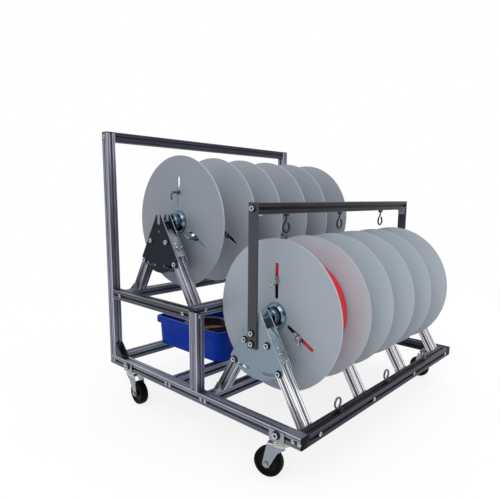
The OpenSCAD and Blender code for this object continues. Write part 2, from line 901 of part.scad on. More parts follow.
// Washers on both faces of both discs, where a spreader rod passes them
module rod_washers() {
    half = reel_w / 2;
    for (m = [0, 1]) mirror([0, 0, m]) {
        translate([0, 0, half]) cylinder(r = rod_d * 1.1, h = 1.5);
        translate([0, 0, half - disc_t - 1.5]) cylinder(r = rod_d * 1.1, h = 1.5);
    }
}

// Rod of a front reel: straight, with a wing nut at both ends
module winged_rod() {
    half = reel_w / 2;
    cylinder(d = rod_d, h = reel_w + 2 * wing_out, center = true);
    rod_washers();
    for (m = [0, 1]) mirror([0, 0, m]) translate([0, 0, half + 1.5]) rotate(35) wing_head();
}

// Rod of a rear reel: its left end is bent into a handle that points at the axle,
// and a nut holds its right end
module bent_rod() {
    half = reel_w / 2;
    straight = reel_w + long_out + short_out - bend_r;
    translate([0, 0, -half - long_out + bend_r]) {
        cylinder(d = rod_d, h = straight);
        translate([-bend_r, 0, 0]) rotate([-90, 0, 0])
            rotate_extrude(angle = 90) translate([bend_r, 0]) circle(d = rod_d);
        translate([-bend_r, 0, -bend_r]) rotate([0, -90, 0]) {
            cylinder(d = rod_d, h = handle_l);
            translate([0, 0, handle_l]) cylinder(d1 = rod_d, d2 = rod_d - 2, h = 1);
        }
    }
    rod_washers();
    translate([0, 0, half + 1.5]) cylinder(r = rod_d * 0.8, h = 6, $fn = 6);
    translate([0, 0, -half - 7.5]) cylinder(r = rod_d * 0.8, h = 6, $fn = 6);
}

module rods(i, row_y, top, winged) {
    color("whitesmoke") place() translate([bay_x(i), row_y, top + axle_h])
        rotate([0, 90, 0]) for (a = [180, 60, -60]) rotate(a) translate([rod_r, 0, 0]) {
            if (winged) winged_rod();
            else bent_rod();
        }
}

// Wire wound round the spreader rods of the first front reel
module wire_coil() {
    l = reel_w - 2 * disc_t - 6;
    color("crimson") place() translate([bay_x(0), front_row_y, base_top + axle_h])
        rotate([0, 90, 0]) difference() {
            cylinder(d = coil_d, h = l, center = true, $fn = 96);
            cylinder(r = rod_r + rod_d / 2 + 0.3, h = l + 2, center = true, $fn = 96);
        }
}

base_side_rails();
base_cross_rails();
rear_posts();
rear_top_rail();
mid_posts();
deck_side_rails();
deck_cross_rails();
front_a_legs();
rear_a_legs();
leg_brackets();
front_cradle_plates();
rear_cradle_plates();
cradle_bolts();
brake_straps();
brake_screws();
arch_posts();
arch_rail();
arch_brackets();
upper_wire_guides();
lower_wire_guides();
end_caps();
post_gussets();
frame_screws();
caster_brackets();
caster_fork(0);  // caster_fork_fl
caster_fork(1);  // caster_fork_fr
caster_fork(2);  // caster_fork_rl
caster_fork(3);  // caster_fork_rr
caster_wheel(0);  // caster_wheel_fl
caster_wheel(1);  // caster_wheel_fr
caster_wheel(2);  // caster_wheel_rl
caster_wheel(3);  // caster_wheel_rr
tote();
stored_cables();
wire_coil();
axle(0, front_row_y, base_top);  // axle_f1
axle(1, front_row_y, base_top);  // axle_f2
axle(2, front_row_y, base_top);  // axle_f3
axle(0, rear_row_y, deck_top);  // axle_r1
axle(1, rear_row_y, deck_top);  // axle_r2
axle(2, rear_row_y, deck_top);  // axle_r3
hub(0, front_row_y, base_top);  // hub_f1
hub(1, front_row_y, base_top);  // hub_f2
hub(2, front_row_y, base_top);  // hub_f3
hub(0, rear_row_y, deck_top);  // hub_r1
hub(1, rear_row_y, deck_top);  // hub_r2
hub(2, rear_row_y, deck_top);  // hub_r3
discs(0, front_row_y, base_top);  // discs_f1
discs(1, front_row_y, base_top);  // discs_f2
discs(2, front_row_y, base_top);  // discs_f3
discs(0, rear_row_y, deck_top);  // discs_r1
discs(1, rear_row_y, deck_top);  // discs_r2
discs(2, rear_row_y, deck_top);  // discs_r3
rods(0, front_row_y, base_top, true);  // rods_f1
rods(1, front_row_y, base_top, true);  // rods_f2
rods(2, front_row_y, base_top, true);  // rods_f3
rods(0, rear_row_y, deck_top, false);  // rods_r1
rods(1, rear_row_y, deck_top, false);  // rods_r2
rods(2, rear_row_y, deck_top, false);  // rods_r3
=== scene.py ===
import json
import math
import bmesh
import bpy
import numpy as np
from mathutils import Matrix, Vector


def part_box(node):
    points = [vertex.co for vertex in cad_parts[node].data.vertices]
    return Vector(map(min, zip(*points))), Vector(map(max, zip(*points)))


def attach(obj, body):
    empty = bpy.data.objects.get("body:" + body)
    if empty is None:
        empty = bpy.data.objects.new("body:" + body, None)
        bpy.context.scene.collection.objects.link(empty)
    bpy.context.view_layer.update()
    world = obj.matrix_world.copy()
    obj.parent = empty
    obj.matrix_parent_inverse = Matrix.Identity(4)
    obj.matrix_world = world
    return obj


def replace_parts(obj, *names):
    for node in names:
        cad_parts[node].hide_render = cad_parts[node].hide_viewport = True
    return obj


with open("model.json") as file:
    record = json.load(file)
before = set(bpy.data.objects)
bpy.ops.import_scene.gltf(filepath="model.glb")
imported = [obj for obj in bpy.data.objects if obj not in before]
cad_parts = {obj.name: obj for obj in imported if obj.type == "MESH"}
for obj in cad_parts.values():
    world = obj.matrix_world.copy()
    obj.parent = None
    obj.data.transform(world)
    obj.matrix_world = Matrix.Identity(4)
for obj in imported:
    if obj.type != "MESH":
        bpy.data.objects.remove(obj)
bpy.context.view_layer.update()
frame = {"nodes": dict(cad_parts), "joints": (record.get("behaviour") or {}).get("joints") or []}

# The view. The camera stands to the front left of the cart, a little above its reels,
# turned and shifted as the photograph's was.
CAMERA_AT = (-1.2369, -0.9738, 0.6806)
CAMERA_HEADING = math.radians(-47.62)
CAMERA_DOWN = math.radians(9.21)
CAMERA_ROLL = math.radians(0.64)
CAMERA_LENS = 33.25
CAMERA_SHIFT = (-0.0118, 0.0389)
camera = bpy.data.objects.new("camera", bpy.data.cameras.new("camera"))
camera.data.sensor_width = 36
camera.data.lens = CAMERA_LENS
camera.data.shift_x, camera.data.shift_y = CAMERA_SHIFT
camera.data.clip_start = 0.01
heading = Matrix.Rotation(CAMERA_HEADING, 4, "Z")
tip = Matrix.Rotation(math.pi / 2 - CAMERA_DOWN, 4, "X")
camera.matrix_world = (Matrix.Translation(CAMERA_AT) @ heading @ tip
                       @ Matrix.Rotation(CAMERA_ROLL, 4, "Z"))
bpy.context.scene.collection.objects.link(camera)
bpy.context.scene.camera = camera
bpy.context.scene.view_settings.view_transform = "Standard"


# The spare cables in the tote. Two coils of round vinyl-sheathed cable, a yellow one with a
# black one on it, wound in columns by hand and left with bare ends.
def colour(code):
    """An sRGB hex colour as linear red, green, blue and alpha, by the sRGB curve."""
    parts = [int(code[k:k + 2], 16) / 255 for k in (1, 3, 5)]
    return tuple(c / 12.92 if c <= 0.04045 else ((c + 0.055) / 1.055) ** 2.4
                 for c in parts) + (1.0,)


def add(material, kind, inputs=None, **settings):
    """Adds one shader node. A socket's value is set, and a socket given as a value is linked."""
    new = material.node_tree.nodes.new(kind)
    for name, value in settings.items():
        setattr(new, name, value)
    for name, value in (inputs or {}).items():
        if isinstance(value, bpy.types.NodeSocket):
            material.node_tree.links.new(value, new.inputs[name])
        else:
            new.inputs[name].default_value = value
    return new


def blank(name):
    """A new material without nodes."""
    material = bpy.data.materials.new(name)
    material.use_nodes = True
    material.node_tree.nodes.clear()
    return material


def close(material, shader):
    """Joins a shader to the material's output."""
    add(material, "ShaderNodeOutputMaterial", {"Surface": shader.outputs[0]})
    return material


def net(rows, cols, around=True, looped=False):
    """Quads between the neighbours of a grid of points, joined round its columns or rows."""
    down = np.arange(rows if looped else rows - 1)
    across = np.arange(cols if around else cols - 1)
    a, b = np.meshgrid(down, across, indexing="ij")
    a2, b2 = (a + 1) % rows, (b + 1) % cols
    return np.stack([a * cols + b, a * cols + b2, a2 * cols + b2, a2 * cols + b],
                    -1).reshape(-1, 4)


def lid(start, count):
    """One flat face over a ring of count points that begins at a point's number."""
    return np.arange(start, start + count)[None]


def closed_tube(points):
    """A shell of rings of points: quads between each ring and the next, and a flat face over
    the first ring and the last."""
    rows, count = points.shape[:2]
    return points, net(rows, count), lid(0, count), lid((rows - 1) * count, count)


def piece_of(name, shells, material, body=None, sharp=38, place=None):
    """Joins shells of (points, faces) in one mesh, closes its seams and rides it on a body. The
    place, if given, holds three numbers for each point, kept as the attribute bar_place."""
    points, faces, count = [], [], 0
    for shell_points, *groups in shells:
        shell_points = np.asarray(shell_points, float).reshape(-1, 3)
        points.append(shell_points)
        for group in groups:
            faces += (group + count).tolist()
        count += len(shell_points)
    mesh = bpy.data.meshes.new(name)
    mesh.from_pydata(np.concatenate(points).tolist(), [], faces)
    if place is not None:
        kept = mesh.attributes.new("bar_place", "FLOAT_VECTOR", "POINT")
        kept.data.foreach_set("vector", np.asarray(place, np.float32).ravel())
    shape = bmesh.new()
    shape.from_mesh(mesh)
    bmesh.ops.remove_doubles(shape, verts=shape.verts, dist=2e-6)
    bmesh.ops.recalc_face_normals(shape, faces=shape.faces)
    shape.to_mesh(mesh)
    shape.free()
    mesh.polygons.foreach_set("use_smooth", [True] * len(mesh.polygons))
    mesh.set_sharp_from_angle(angle=math.radians(sharp))
    mesh.materials.append(material)
    mesh.update()
    piece = bpy.data.objects.new(name, mesh)
    bpy.context.scene.collection.objects.link(piece)
    if body:
        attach(piece, body)
    return piece


NOISE_LOW, NOISE_HIGH = 0.3, 0.7


def marks_of(millimetres):
    """A noise's scale from the real size of its marks: how many of them fit in a metre."""
    return 1000 / millimetres


def uneven(material, noise, light, dark, glossy, dull, high=NOISE_HIGH):
    """A tone and a roughness that drift together as a noise does: dark and glossy where it is
    low, light and dull where it is high."""
    tone = add(material, "ShaderNodeMix", {0: noise.outputs["Fac"], 6: colour(dark),
                                           7: colour(light)}, data_type="RGBA")
    gloss = add(material, "ShaderNodeMapRange",
                {"Value": noise.outputs["Fac"], "From Min": NOISE_LOW, "From Max": high,
                 "To Min": glossy, "To Max": dull})
    return tone, gloss


def moulded_plastic(name, light, dark, rough, grit=0.7, shine=0.5):
    """Moulded or extruded plastic: a fine matt grain of a grit in millimetres, with slow clouds
    of wear in its colour and its gloss. The shine is the shader's own specular level."""
    material = blank(name)
    place = add(material, "ShaderNodeTexCoord").outputs["Object"]
    grain = add(material, "ShaderNodeTexNoise",
                {"Vector": place, "Scale": marks_of(grit), "Detail": 2.0})
    wear = add(material, "ShaderNodeTexNoise",
               {"Vector": place, "Scale": marks_of(55), "Detail": 6.0})
    body, gloss = uneven(material, wear, light, dark, rough - 0.05, rough + 0.08)
    relief = add(material, "ShaderNodeBump", {"Height": grain.outputs["Fac"], "Strength": 0.15,
                                              "Distance": 0.0001})
    return close(material, add(material, "ShaderNodeBsdfPrincipled",
                               {"Base Color": body.outputs[2], "Roughness": gloss.outputs[0],
                                "Specular IOR Level": shine, "Normal": relief.outputs[0]}))


COLUMNS = 3
COLUMN_TURNS, STEP_TURNS = 3.4, 1 / 6
TURN_POINTS = 32
CABLE_APART = 1.03
OUT_OF_ROUND = 0.0011
INNER_PLAY = 0.0012


def coil_route(centre, seat, thick, inner, start):
    """Columns of helix side by side. The cable climbs one column, steps out to the next in a
    sixth of a turn, and goes down it again. Radius and height run in straight lines between
    those turns, and a slow sine in the angle keeps the coil from being perfectly round."""
    apart = thick * CABLE_APART
    turn, radius, height = [0.0], [inner + thick / 2 + INNER_PLAY], [seat + thick / 2]
    for column in range(COLUMNS):
        if column:
            turn.append(turn[-1] + STEP_TURNS)
            radius.append(radius[-1] + apart)
            height.append(height[-1])
        turn.append(turn[-1] + COLUMN_TURNS)
        radius.append(radius[-1])
        height.append(seat + thick / 2 + (apart * COLUMN_TURNS if column % 2 == 0 else 0))
    turns = np.linspace(0, turn[-1], int(turn[-1] * TURN_POINTS))
    angle = 2 * math.pi * (turns + start)
    r = np.interp(turns, turn, radius) + OUT_OF_ROUND * np.sin(2 * angle + 0.5)
    return np.stack([centre[0] + r * np.cos(angle), centre[1] + r * np.sin(angle),
                     np.interp(turns, turn, height)], -1)


def round_cable(route, centre, thick, sides=12):
    """A circle carried along a route that runs round an upright axis: its plane holds the
    direction away from that axis and the vertical."""
    out = route[:, :2] - np.array(centre[:2])
    out = out / np.linalg.norm(out, axis=1, keepdims=True)
    angle = np.linspace(0, 2 * math.pi, sides, endpoint=False)
    points = np.repeat(route[:, None, :], sides, 1)
    points[..., :2] += thick / 2 * np.cos(angle)[None, :, None] * out[:, None, :]
    points[..., 2] += thick / 2 * np.sin(angle)[None, :]
    return closed_tube(points)


cable_coils = [("yellow_cable", (-0.1510, 0.2361), 0.1403, 0.0108, 0.0610, 0.45,
                ("#dba31c", "#b9860f", 0.38)),
               ("black_cable", (-0.1550, 0.2421), 0.1915, 0.0074, 0.0650, 0.1,
                ("#141416", "#0b0b0d", 0.34))]
spare_cables = []
for name, centre, seat, thick, inner, start, sheath in cable_coils:
    route = coil_route(centre, seat, thick, inner, start)
    cable = piece_of(name, [round_cable(route, centre, thick)],
                     moulded_plastic(name + "_sheath", *sheath), "tote_body", sharp=60)
    spare_cables.append(cable)
for cable in spare_cables:
    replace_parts(cable, "stored_cables")


# The studio. A pale painted floor runs out past the view and fades into a white room, with a
# strong soft lamp high on the left and a larger, weaker one on the right. Two dark cloths hang
# on the walls beside the camera. Only reflections see them, as dark stripes in round metal.
FLOOR_REACH = 14.0
CLOTHS_TOWARDS = ((-0.96, -0.17, 0.21), (-0.25, -0.95, 0.21))
CLOTH_FROM, CLOTH_TO = 0.90, 0.96
FADE_FROM, FADE_TO = 0.9, 2.6
WHITE_NEAR = 0.8
LAMP_AIM = (0, 0, 0.4)
floor_paint = blank("matt_floor_paint")
floor_place = add(floor_paint, "ShaderNodeTexCoord").outputs["Object"]
grain = add(floor_paint, "ShaderNodeTexNoise",
            {"Vector": floor_place, "Scale": marks_of(330), "Detail": 4.0})
pale = add(floor_paint, "ShaderNodeMix", {0: grain.outputs["Fac"], 6: colour("#f6f6f7"),
                                          7: colour("#fcfcfc")}, data_type="RGBA")
paint = add(floor_paint, "ShaderNodeBsdfPrincipled",
            {"Base Color": pale.outputs[2], "Roughness": 0.85})
white = add(floor_paint, "ShaderNodeEmission", {"Color": colour("#ffffff"), "Strength": 1.0})
out_from_cart = add(floor_paint, "ShaderNodeVectorMath", {0: floor_place}, operation="LENGTH")
fade = add(floor_paint, "ShaderNodeMapRange",
           {"Value": out_from_cart.outputs["Value"], "From Min": FADE_FROM, "From Max": FADE_TO,
            "To Min": WHITE_NEAR}, interpolation_type="SMOOTHSTEP")
floor_ray = add(floor_paint, "ShaderNodeLightPath")
floor_seen = add(floor_paint, "ShaderNodeMath", {0: floor_ray.outputs["Is Camera Ray"],
                                                 1: floor_ray.outputs["Is Glossy Ray"]},
                 operation="MAXIMUM")
share = add(floor_paint, "ShaderNodeMath", {0: fade.outputs[0], 1: floor_seen.outputs[0]},
            operation="MULTIPLY")
close(floor_paint, add(floor_paint, "ShaderNodeMixShader",
                       {0: share.outputs[0], 1: paint.outputs[0], 2: white.outputs[0]}))
reach = np.array([-FLOOR_REACH, FLOOR_REACH])
floor_grid = np.stack(np.meshgrid(reach, reach, [0.0], indexing="ij"), -1)
floor = piece_of("floor", [(floor_grid, net(2, 2, around=False))], floor_paint)

room = bpy.data.worlds.new("white_room")
room.use_nodes = True
room.node_tree.nodes.clear()
ray = add(room, "ShaderNodeLightPath")
seen = add(room, "ShaderNodeMath", {0: ray.outputs["Is Camera Ray"],
                                    1: ray.outputs["Is Glossy Ray"]}, operation="MAXIMUM")
direction = add(room, "ShaderNodeTexCoord").outputs["Object"]
cloths = []
for towards in CLOTHS_TOWARDS:
    near = add(room, "ShaderNodeVectorMath", {0: direction, 1: towards},
               operation="DOT_PRODUCT")
    cloths.append(add(room, "ShaderNodeMapRange",
                      {"Value": near.outputs["Value"], "From Min": CLOTH_FROM,
                       "From Max": CLOTH_TO}, interpolation_type="SMOOTHSTEP"))
either = add(room, "ShaderNodeMath", {0: cloths[0].outputs[0], 1: cloths[1].outputs[0]},
             operation="MAXIMUM")
on_cloth = add(room, "ShaderNodeMath", {0: either.outputs[0], 1: ray.outputs["Is Glossy Ray"]},
               operation="MULTIPLY")
wall = add(room, "ShaderNodeMix", {0: on_cloth.outputs[0], 6: colour("#ffffff"),
                                   7: colour("#1c1d22")}, data_type="RGBA")
plain = add(room, "ShaderNodeBackground", {"Color": colour("#ffffff"), "Strength": 1.0})
shown = add(room, "ShaderNodeBackground", {"Color": wall.outputs[2], "Strength": 1.0})
both = add(room, "ShaderNodeMixShader", {0: seen.outputs[0], 1: plain.outputs[0],
                                         2: shown.outputs[0]})
add(room, "ShaderNodeOutputWorld", {"Surface": both.outputs[0]})
bpy.context.scene.world = room


def soft_lamp(name, place, size, watts):
    """A square area lamp at a place, turned to the middle of the cart."""
    lamp = bpy.data.objects.new(name, bpy.data.lights.new(name, "AREA"))
    lamp.data.size = size
    lamp.data.energy = watts
    away = np.array(place, float) - np.array(LAMP_AIM, float)
    around = math.atan2(away[0], -away[1])
    down = math.atan2(away[2], math.hypot(away[0], away[1]))
    lamp.matrix_world = (Matrix.Translation(place) @ Matrix.Rotation(around, 4, "Z")
                         @ Matrix.Rotation(math.pi / 2 - down, 4, "X"))
    bpy.context.scene.collection.objects.link(lamp)


soft_lamp("window_left", (-2.6, -0.9, 2.6), 1.6, 26)
soft_lamp("window_right", (1.9, -2.6, 2.4), 2.2, 18)


# The bars: square 30 mm extrusion of aluminium alloy with four T-slots and a fine groove in
# each land, sawn to length and screwed end to side. Anodising makes some of them silver and
# others dark or blue grey. The right side rail and the front rail are darkened as painted
# shade, and the deck's side rails as a painted dark reflection.
BAR = 0.030
EDGE_R = 0.0015
LIP_W, LIP_T, CHAMFER = 0.0041, 0.0022, 0.0006
SLOT_W, SLOT_SIDE, SLOT_DEEP, SLOT_FLOOR = 0.0072, 0.0016, 0.0066, 0.0052
GROOVE_AT, GROOVE_W, GROOVE_DEEP = 0.0093, 0.0008, 0.0006


def bar_outline():
    """One side from its corner's arc over the grooved land and down into the slot, mirrored
    over the slot's middle and turned four times by a right angle."""
    half = BAR / 2
    arc = np.radians([22.5, 45, 67.5, 90])
    corner = half - EDGE_R + EDGE_R * np.stack([np.cos(arc), np.sin(arc)], -1)
    land = np.array([[GROOVE_AT + GROOVE_W, half], [GROOVE_AT, half - GROOVE_DEEP],
                     [GROOVE_AT - GROOVE_W, half],
                     [LIP_W + CHAMFER, half], [LIP_W, half - CHAMFER], [LIP_W, half - LIP_T],
                     [SLOT_W, half - LIP_T], [SLOT_W, half - LIP_T - SLOT_SIDE],
                     [SLOT_FLOOR, half - SLOT_DEEP]])
    back = land[::-1] * [-1, 1]
    side = np.concatenate([corner, land, back, [[-(half - EDGE_R), half]]])
    return np.concatenate([side @ [[math.cos(t), math.sin(t)], [-math.sin(t), math.cos(t)]]
                           for t in np.radians([0, 90, 180, 270])])


OUTLINE = bar_outline()


def loose_parts(node):
    """The corner points of each separate part of a CAD node, found by passing the lowest
    number along the triangles' sides until nothing changes."""
    mesh = frame["nodes"][node].data
    points = np.empty(len(mesh.vertices) * 3)
    mesh.vertices.foreach_get("co", points)
    points = points.reshape(-1, 3)
    sides = np.empty(len(mesh.edges) * 2, dtype=np.int64)
    mesh.edges.foreach_get("vertices", sides)
    _, same = np.unique(np.round(points, 5), axis=0, return_inverse=True)
    same = same.ravel()
    sides = same[sides.reshape(-1, 2)]
    label = np.arange(same.max() + 1)
    while True:
        low = np.minimum(label[sides[:, 0]], label[sides[:, 1]])
        new = label.copy()
        np.minimum.at(new, sides[:, 0], low)
        np.minimum.at(new, sides[:, 1], low)
        new = new[new]
        if (new == label).all():
            break
        label = new
    label = label[same]
    return [points[label == number] for number in np.unique(label)]


def span(part):
    """The lowest and the highest corner of a part's box, and the middle between them."""
    low, high = part.min(0), part.max(0)
    return low, high, (low + high) / 2


def laid_across(axis, middle, levels, rings):
    """Outlines laid across an axis round a middle, one at each level along the axis."""
    first, second = (axis + 1) % 3, (axis + 2) % 3
    points = np.zeros(rings.shape[:2] + (3,))
    points[..., axis] = np.array(levels)[:, None]
    points[..., first] = middle[first] + rings[..., 0]
    points[..., second] = middle[second] + rings[..., 1]
    return points


def straight_bars(node, axis, start, end):
    """The bar's outline carried from end to end of each part's box, along its longest side,
    for the parts whose middle lies between two places on one axis. Each point keeps its place
    across and along its bar."""
    shells, places = [], []
    for part in loose_parts(node):
        low, high, middle = span(part)
        if not start < middle[axis] < end:
            continue
        long = int(np.argmax(high - low))
        points = laid_across(long, middle, (low[long], high[long]), np.stack([OUTLINE] * 2))
        shells.append(closed_tube(points))
        places.append(np.column_stack([np.tile(OUTLINE, (2, 1)), points[..., long].ravel()]))
    return shells, np.concatenate(places)


LINE_APART, LINE_LONG = 0.0024, 0.12
# Where the painted corner highlight lies across each bar.
CORNER_HIGHLIGHT_FROM, CORNER_HIGHLIGHT_TO = 0.0128, 0.0142
OPEN_FROM, OPEN_TO = 0.0118, 0.0147
# The heights between which the bars turn darker towards the bottom.
EVEN_ABOVE, DARKEST_BELOW = 0.124, 0.118


def extruded_aluminium(name, light, dark, edge, slot, line, rough=0.32, metallic=0.9):
    """Anodised extrusion: the die's lines run along the bar in tone, gloss and height, drawn
    four times as coarse as real ones so that they show. Painted shade darkens each land's
    groove, points below a height are darkened, and the slots take a tone of their own,
    painted shade on some bars and painted light on others. Painted highlights brighten
    the lands beside the corners."""
    material = blank(name)
    kept = add(material, "ShaderNodeAttribute", attribute_name="bar_place").outputs["Vector"]
    split = add(material, "ShaderNodeSeparateXYZ", {0: kept})
    wide = add(material, "ShaderNodeMath", {0: split.outputs["X"]}, operation="ABSOLUTE")
    tall = add(material, "ShaderNodeMath", {0: split.outputs["Y"]}, operation="ABSOLUTE")
    outer = add(material, "ShaderNodeMath", {0: wide.outputs[0], 1: tall.outputs[0]},
                operation="MAXIMUM")
    inner = add(material, "ShaderNodeMath", {0: wide.outputs[0], 1: tall.outputs[0]},
                operation="MINIMUM")
    drawn = add(material, "ShaderNodeMapping",
                {"Vector": kept, "Scale": (LINE_APART, LINE_APART, LINE_LONG)},
                vector_type="TEXTURE")
    lines = add(material, "ShaderNodeTexNoise",
                {"Vector": drawn.outputs[0], "Scale": 1.0, "Detail": 3.0, "Roughness": 0.6})
    cloud = add(material, "ShaderNodeTexNoise",
                {"Vector": kept, "Scale": marks_of(110), "Detail": 2.0})
    sum_of = add(material, "ShaderNodeMath", {0: cloud.outputs["Fac"], 1: lines.outputs["Fac"]},
                 operation="ADD")
    tone = add(material, "ShaderNodeMapRange",
               {"Value": sum_of.outputs[0], "From Min": 0.75, "From Max": 1.25})
    metal = add(material, "ShaderNodeMix", {0: tone.outputs[0], 6: colour(dark),
                                            7: colour(light)}, data_type="RGBA")
    # Painted highlight: the lands beside each corner are brightened towards the edge tone.
    corner_highlight = add(material, "ShaderNodeMapRange",
                 {"Value": inner.outputs[0], "From Min": CORNER_HIGHLIGHT_FROM, "From Max": CORNER_HIGHLIGHT_TO,
                  "To Max": 0.8})
    metal = add(material, "ShaderNodeMix", {0: corner_highlight.outputs[0], 6: metal.outputs[2],
                                            7: colour(edge)}, data_type="RGBA")
    # Painted shade: a dark line along each land's groove.
    groove_shade = add(material, "ShaderNodeMath", {0: inner.outputs[0], 1: GROOVE_AT,
                                            2: GROOVE_W + 0.0002}, operation="COMPARE")
    metal = add(material, "ShaderNodeMix", {0: groove_shade.outputs[0], 6: metal.outputs[2],
                                            7: colour(line)}, data_type="RGBA")
    # Points below a height are darkened towards the line tone.
    here = add(material, "ShaderNodeTexCoord").outputs["Object"]
    height = add(material, "ShaderNodeSeparateXYZ", {0: here})
    low_darkening = add(material, "ShaderNodeMapRange",
                   {"Value": height.outputs["Z"], "From Min": EVEN_ABOVE,
                    "From Max": DARKEST_BELOW, "To Max": 0.6})
    metal = add(material, "ShaderNodeMix", {0: low_darkening.outputs[0], 6: metal.outputs[2],
                                            7: colour(line)}, data_type="RGBA")
    # The slots' own tone: painted shade where it is darker than the lands, painted light where
    # it is lighter.
    outside_slot = add(material, "ShaderNodeMapRange",
                   {"Value": outer.outputs[0], "From Min": OPEN_FROM, "From Max": OPEN_TO})
    metal = add(material, "ShaderNodeMix", {0: outside_slot.outputs[0], 6: colour(slot),
                                            7: metal.outputs[2]}, data_type="RGBA")
    gloss = add(material, "ShaderNodeMapRange",
                {"Value": lines.outputs["Fac"], "From Min": NOISE_LOW, "From Max": NOISE_HIGH,
                 "To Min": rough - 0.07, "To Max": rough + 0.09})
    relief = add(material, "ShaderNodeBump", {"Height": lines.outputs["Fac"],
                                              "Strength": 0.05, "Distance": 0.0002})
    return close(material, add(material, "ShaderNodeBsdfPrincipled",
                               {"Base Color": metal.outputs[2], "Metallic": metallic,
                                "Roughness": gloss.outputs[0], "Normal": relief.outputs[0]}))


silver_bar = extruded_aluminium("silver_anodised_bar", "#9a9baa", "#74768a", "#c6c7d3",
                                "#84858f", "#4c4d5a")
post_bar = extruded_aluminium("silver_anodised_post", "#989aab", "#77798c", "#d6d8e4",
                              "#9ea0ad", "#585a68")
# Dark anodising on the tall frame rail; on the right side rail and the front rail this tone is
# painted shade.
dark_bar = extruded_aluminium("dark_anodised_bar", "#434452", "#30313c", "#4c4e5b",
                              "#2f3038", "#23242b", 0.38)
arch_bar = extruded_aluminium("black_anodised_bar", "#383a45", "#2a2c35", "#5c5f6b",
                              "#121317", "#1c1d23", 0.34)
# The deck's side rails are painted dark as a reflection.
dark_reflection_deck_bar = extruded_aluminium("grey_anodised_bar", "#62636c", "#4a4b54", "#9a9ca7",
                              "#4c4d56", "#303138", 0.34)
cross_bar = extruded_aluminium("blue_grey_anodised_bar", "#8d93a8", "#6d7287", "#a5abc0",
                               "#4b4f5e", "#3c404e", 0.36, 0.6)
LEFT, RIGHT, ANYWHERE = (0, -1, 0), (0, 0, 1), (0, -1, 1)
FRONT, BEHIND = (1, -1, -0.3), (1, -0.3, 1)
# The right side rail and the front rail share their nodes with the silver left rail and the
# blue-grey rails behind, and take the dark bar as painted shade.
for name, node, metal, within in (
        ("left_side_rail", "base_side_rails", silver_bar, LEFT),
        ("right_side_rail", "base_side_rails", dark_bar, RIGHT),
        ("front_rail", "base_cross_rails", dark_bar, FRONT),
        ("rails_behind", "base_cross_rails", cross_bar, BEHIND),
        ("tall_posts", "rear_posts", post_bar, ANYWHERE),
        ("tall_frame_rail", "rear_top_rail", dark_bar, ANYWHERE),
        ("short_posts", "mid_posts", post_bar, ANYWHERE),
        ("deck_rails", "deck_side_rails", dark_reflection_deck_bar, ANYWHERE),
        ("deck_rails_across", "deck_cross_rails", cross_bar, ANYWHERE),
        ("guide_rail", "arch_rail", arch_bar, ANYWHERE)):
    shells, place = straight_bars(node, *within)
    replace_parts(piece_of(name, shells, metal, "cart_frame", 30, place), node)


# The A-frames' legs: the same extrusion, sawn to a mitre at the foot, leant 31 degrees to meet
# under the axle, and bolted between the cradle plates. The front legs ahead of the axle are
# painted near white as a highlight, a lit copy of the silver legs.
LEG_LEAN = math.radians(31)
APEX_HIGH = 0.263
LEG_TOP = 0.182
FOOT_GAP = 0.006
LEG_SEAT = APEX_HIGH * math.tan(LEG_LEAN) + FOOT_GAP
LEG_REACH = APEX_HIGH * math.tan(LEG_LEAN) - BAR / 2 / math.cos(LEG_LEAN)


def joints_of(kind):
    """The joints that carry one kind of body, by what follows the kind in the body's name."""
    return {joint["child"][len(kind):]: joint for joint in frame["joints"]
            if joint["child"].startswith(kind)}


reel_axes = {reel: joint["pos_m"] for reel, joint in joints_of("reel_").items()}


def leaning_bars(node, row_y, top, behind):
    """The bar's outline carried up a leaning line, for the legs on one side of the axle. Legs
    behind it start at the level of the rail's top. Legs ahead start at the higher of two
    planes, the rail's underside and the back of the rail in front. All end at one level."""
    shells, places = [], []
    lean = -1 if behind else 1
    along = np.array([0, lean * math.sin(LEG_LEAN), math.cos(LEG_LEAN)])
    across = np.array([0, math.cos(LEG_LEAN), -lean * math.sin(LEG_LEAN)])
    for part in loose_parts(node):
        middle = span(part)[2]
        if behind != (middle[1] > row_y):
            continue
        foot = np.array([middle[0], row_y - lean * LEG_REACH, top])
        base = foot + OUTLINE[:, :1] * [1, 0, 0] + OUTLINE[:, 1:] * across
        start = ((top if behind else top - BAR) - base[:, 2]) / along[2]
        if not behind:
            start = np.maximum(start, (row_y - LEG_SEAT - base[:, 1]) / along[1])
        end = (top + LEG_TOP - base[:, 2]) / along[2]
        reach_of = np.stack([start, end])
        points = base[None] + reach_of[..., None] * along
        shells.append(closed_tube(points))
        places.append(np.column_stack([np.tile(OUTLINE, (2, 1)), reach_of.ravel()]))
    return shells, np.concatenate(places)


# Painted highlight: the front legs ahead of the axle are a near white copy of the silver legs.
lit_leg = extruded_aluminium("bright_anodised_leg", "#fbfbfd", "#d5d7df", "#ffffff",
                                "#a4a5ae", "#3f3e4a", 0.24, 0.6)
dull_leg = extruded_aluminium("silver_anodised_leg", "#9a9caa", "#7c7e8c", "#dadce4",
                              "#a3a5b1", "#555763", 0.28)
for node, row, rail, metals in (
        ("front_a_legs", "f1", "base_side_rails", (lit_leg, dull_leg)),
        ("rear_a_legs", "r1", "deck_side_rails", (dull_leg, dull_leg))):
    for behind, metal in zip((False, True), metals):
        shells, place = leaning_bars(node, reel_axes[row][1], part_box(rail)[1][2], behind)
        legs = piece_of(node + ("_behind" if behind else "_ahead"), shells, metal,
                        "cart_frame", 30, place)
        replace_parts(legs, node)


# The cradle plates, straps and arch posts are steel sheet and flat bar, laser cut and bent, and
# the leg brackets and gussets are castings. The front row's plates and the straps are zinc
# plated, with a cool, clouded shine, and the rear row's plates are coated in satin black.
def coat(name, material):
    """Gives a carried-over node its one material."""
    slots = frame["nodes"][name].data.materials
    slots.clear()
    slots.append(material)


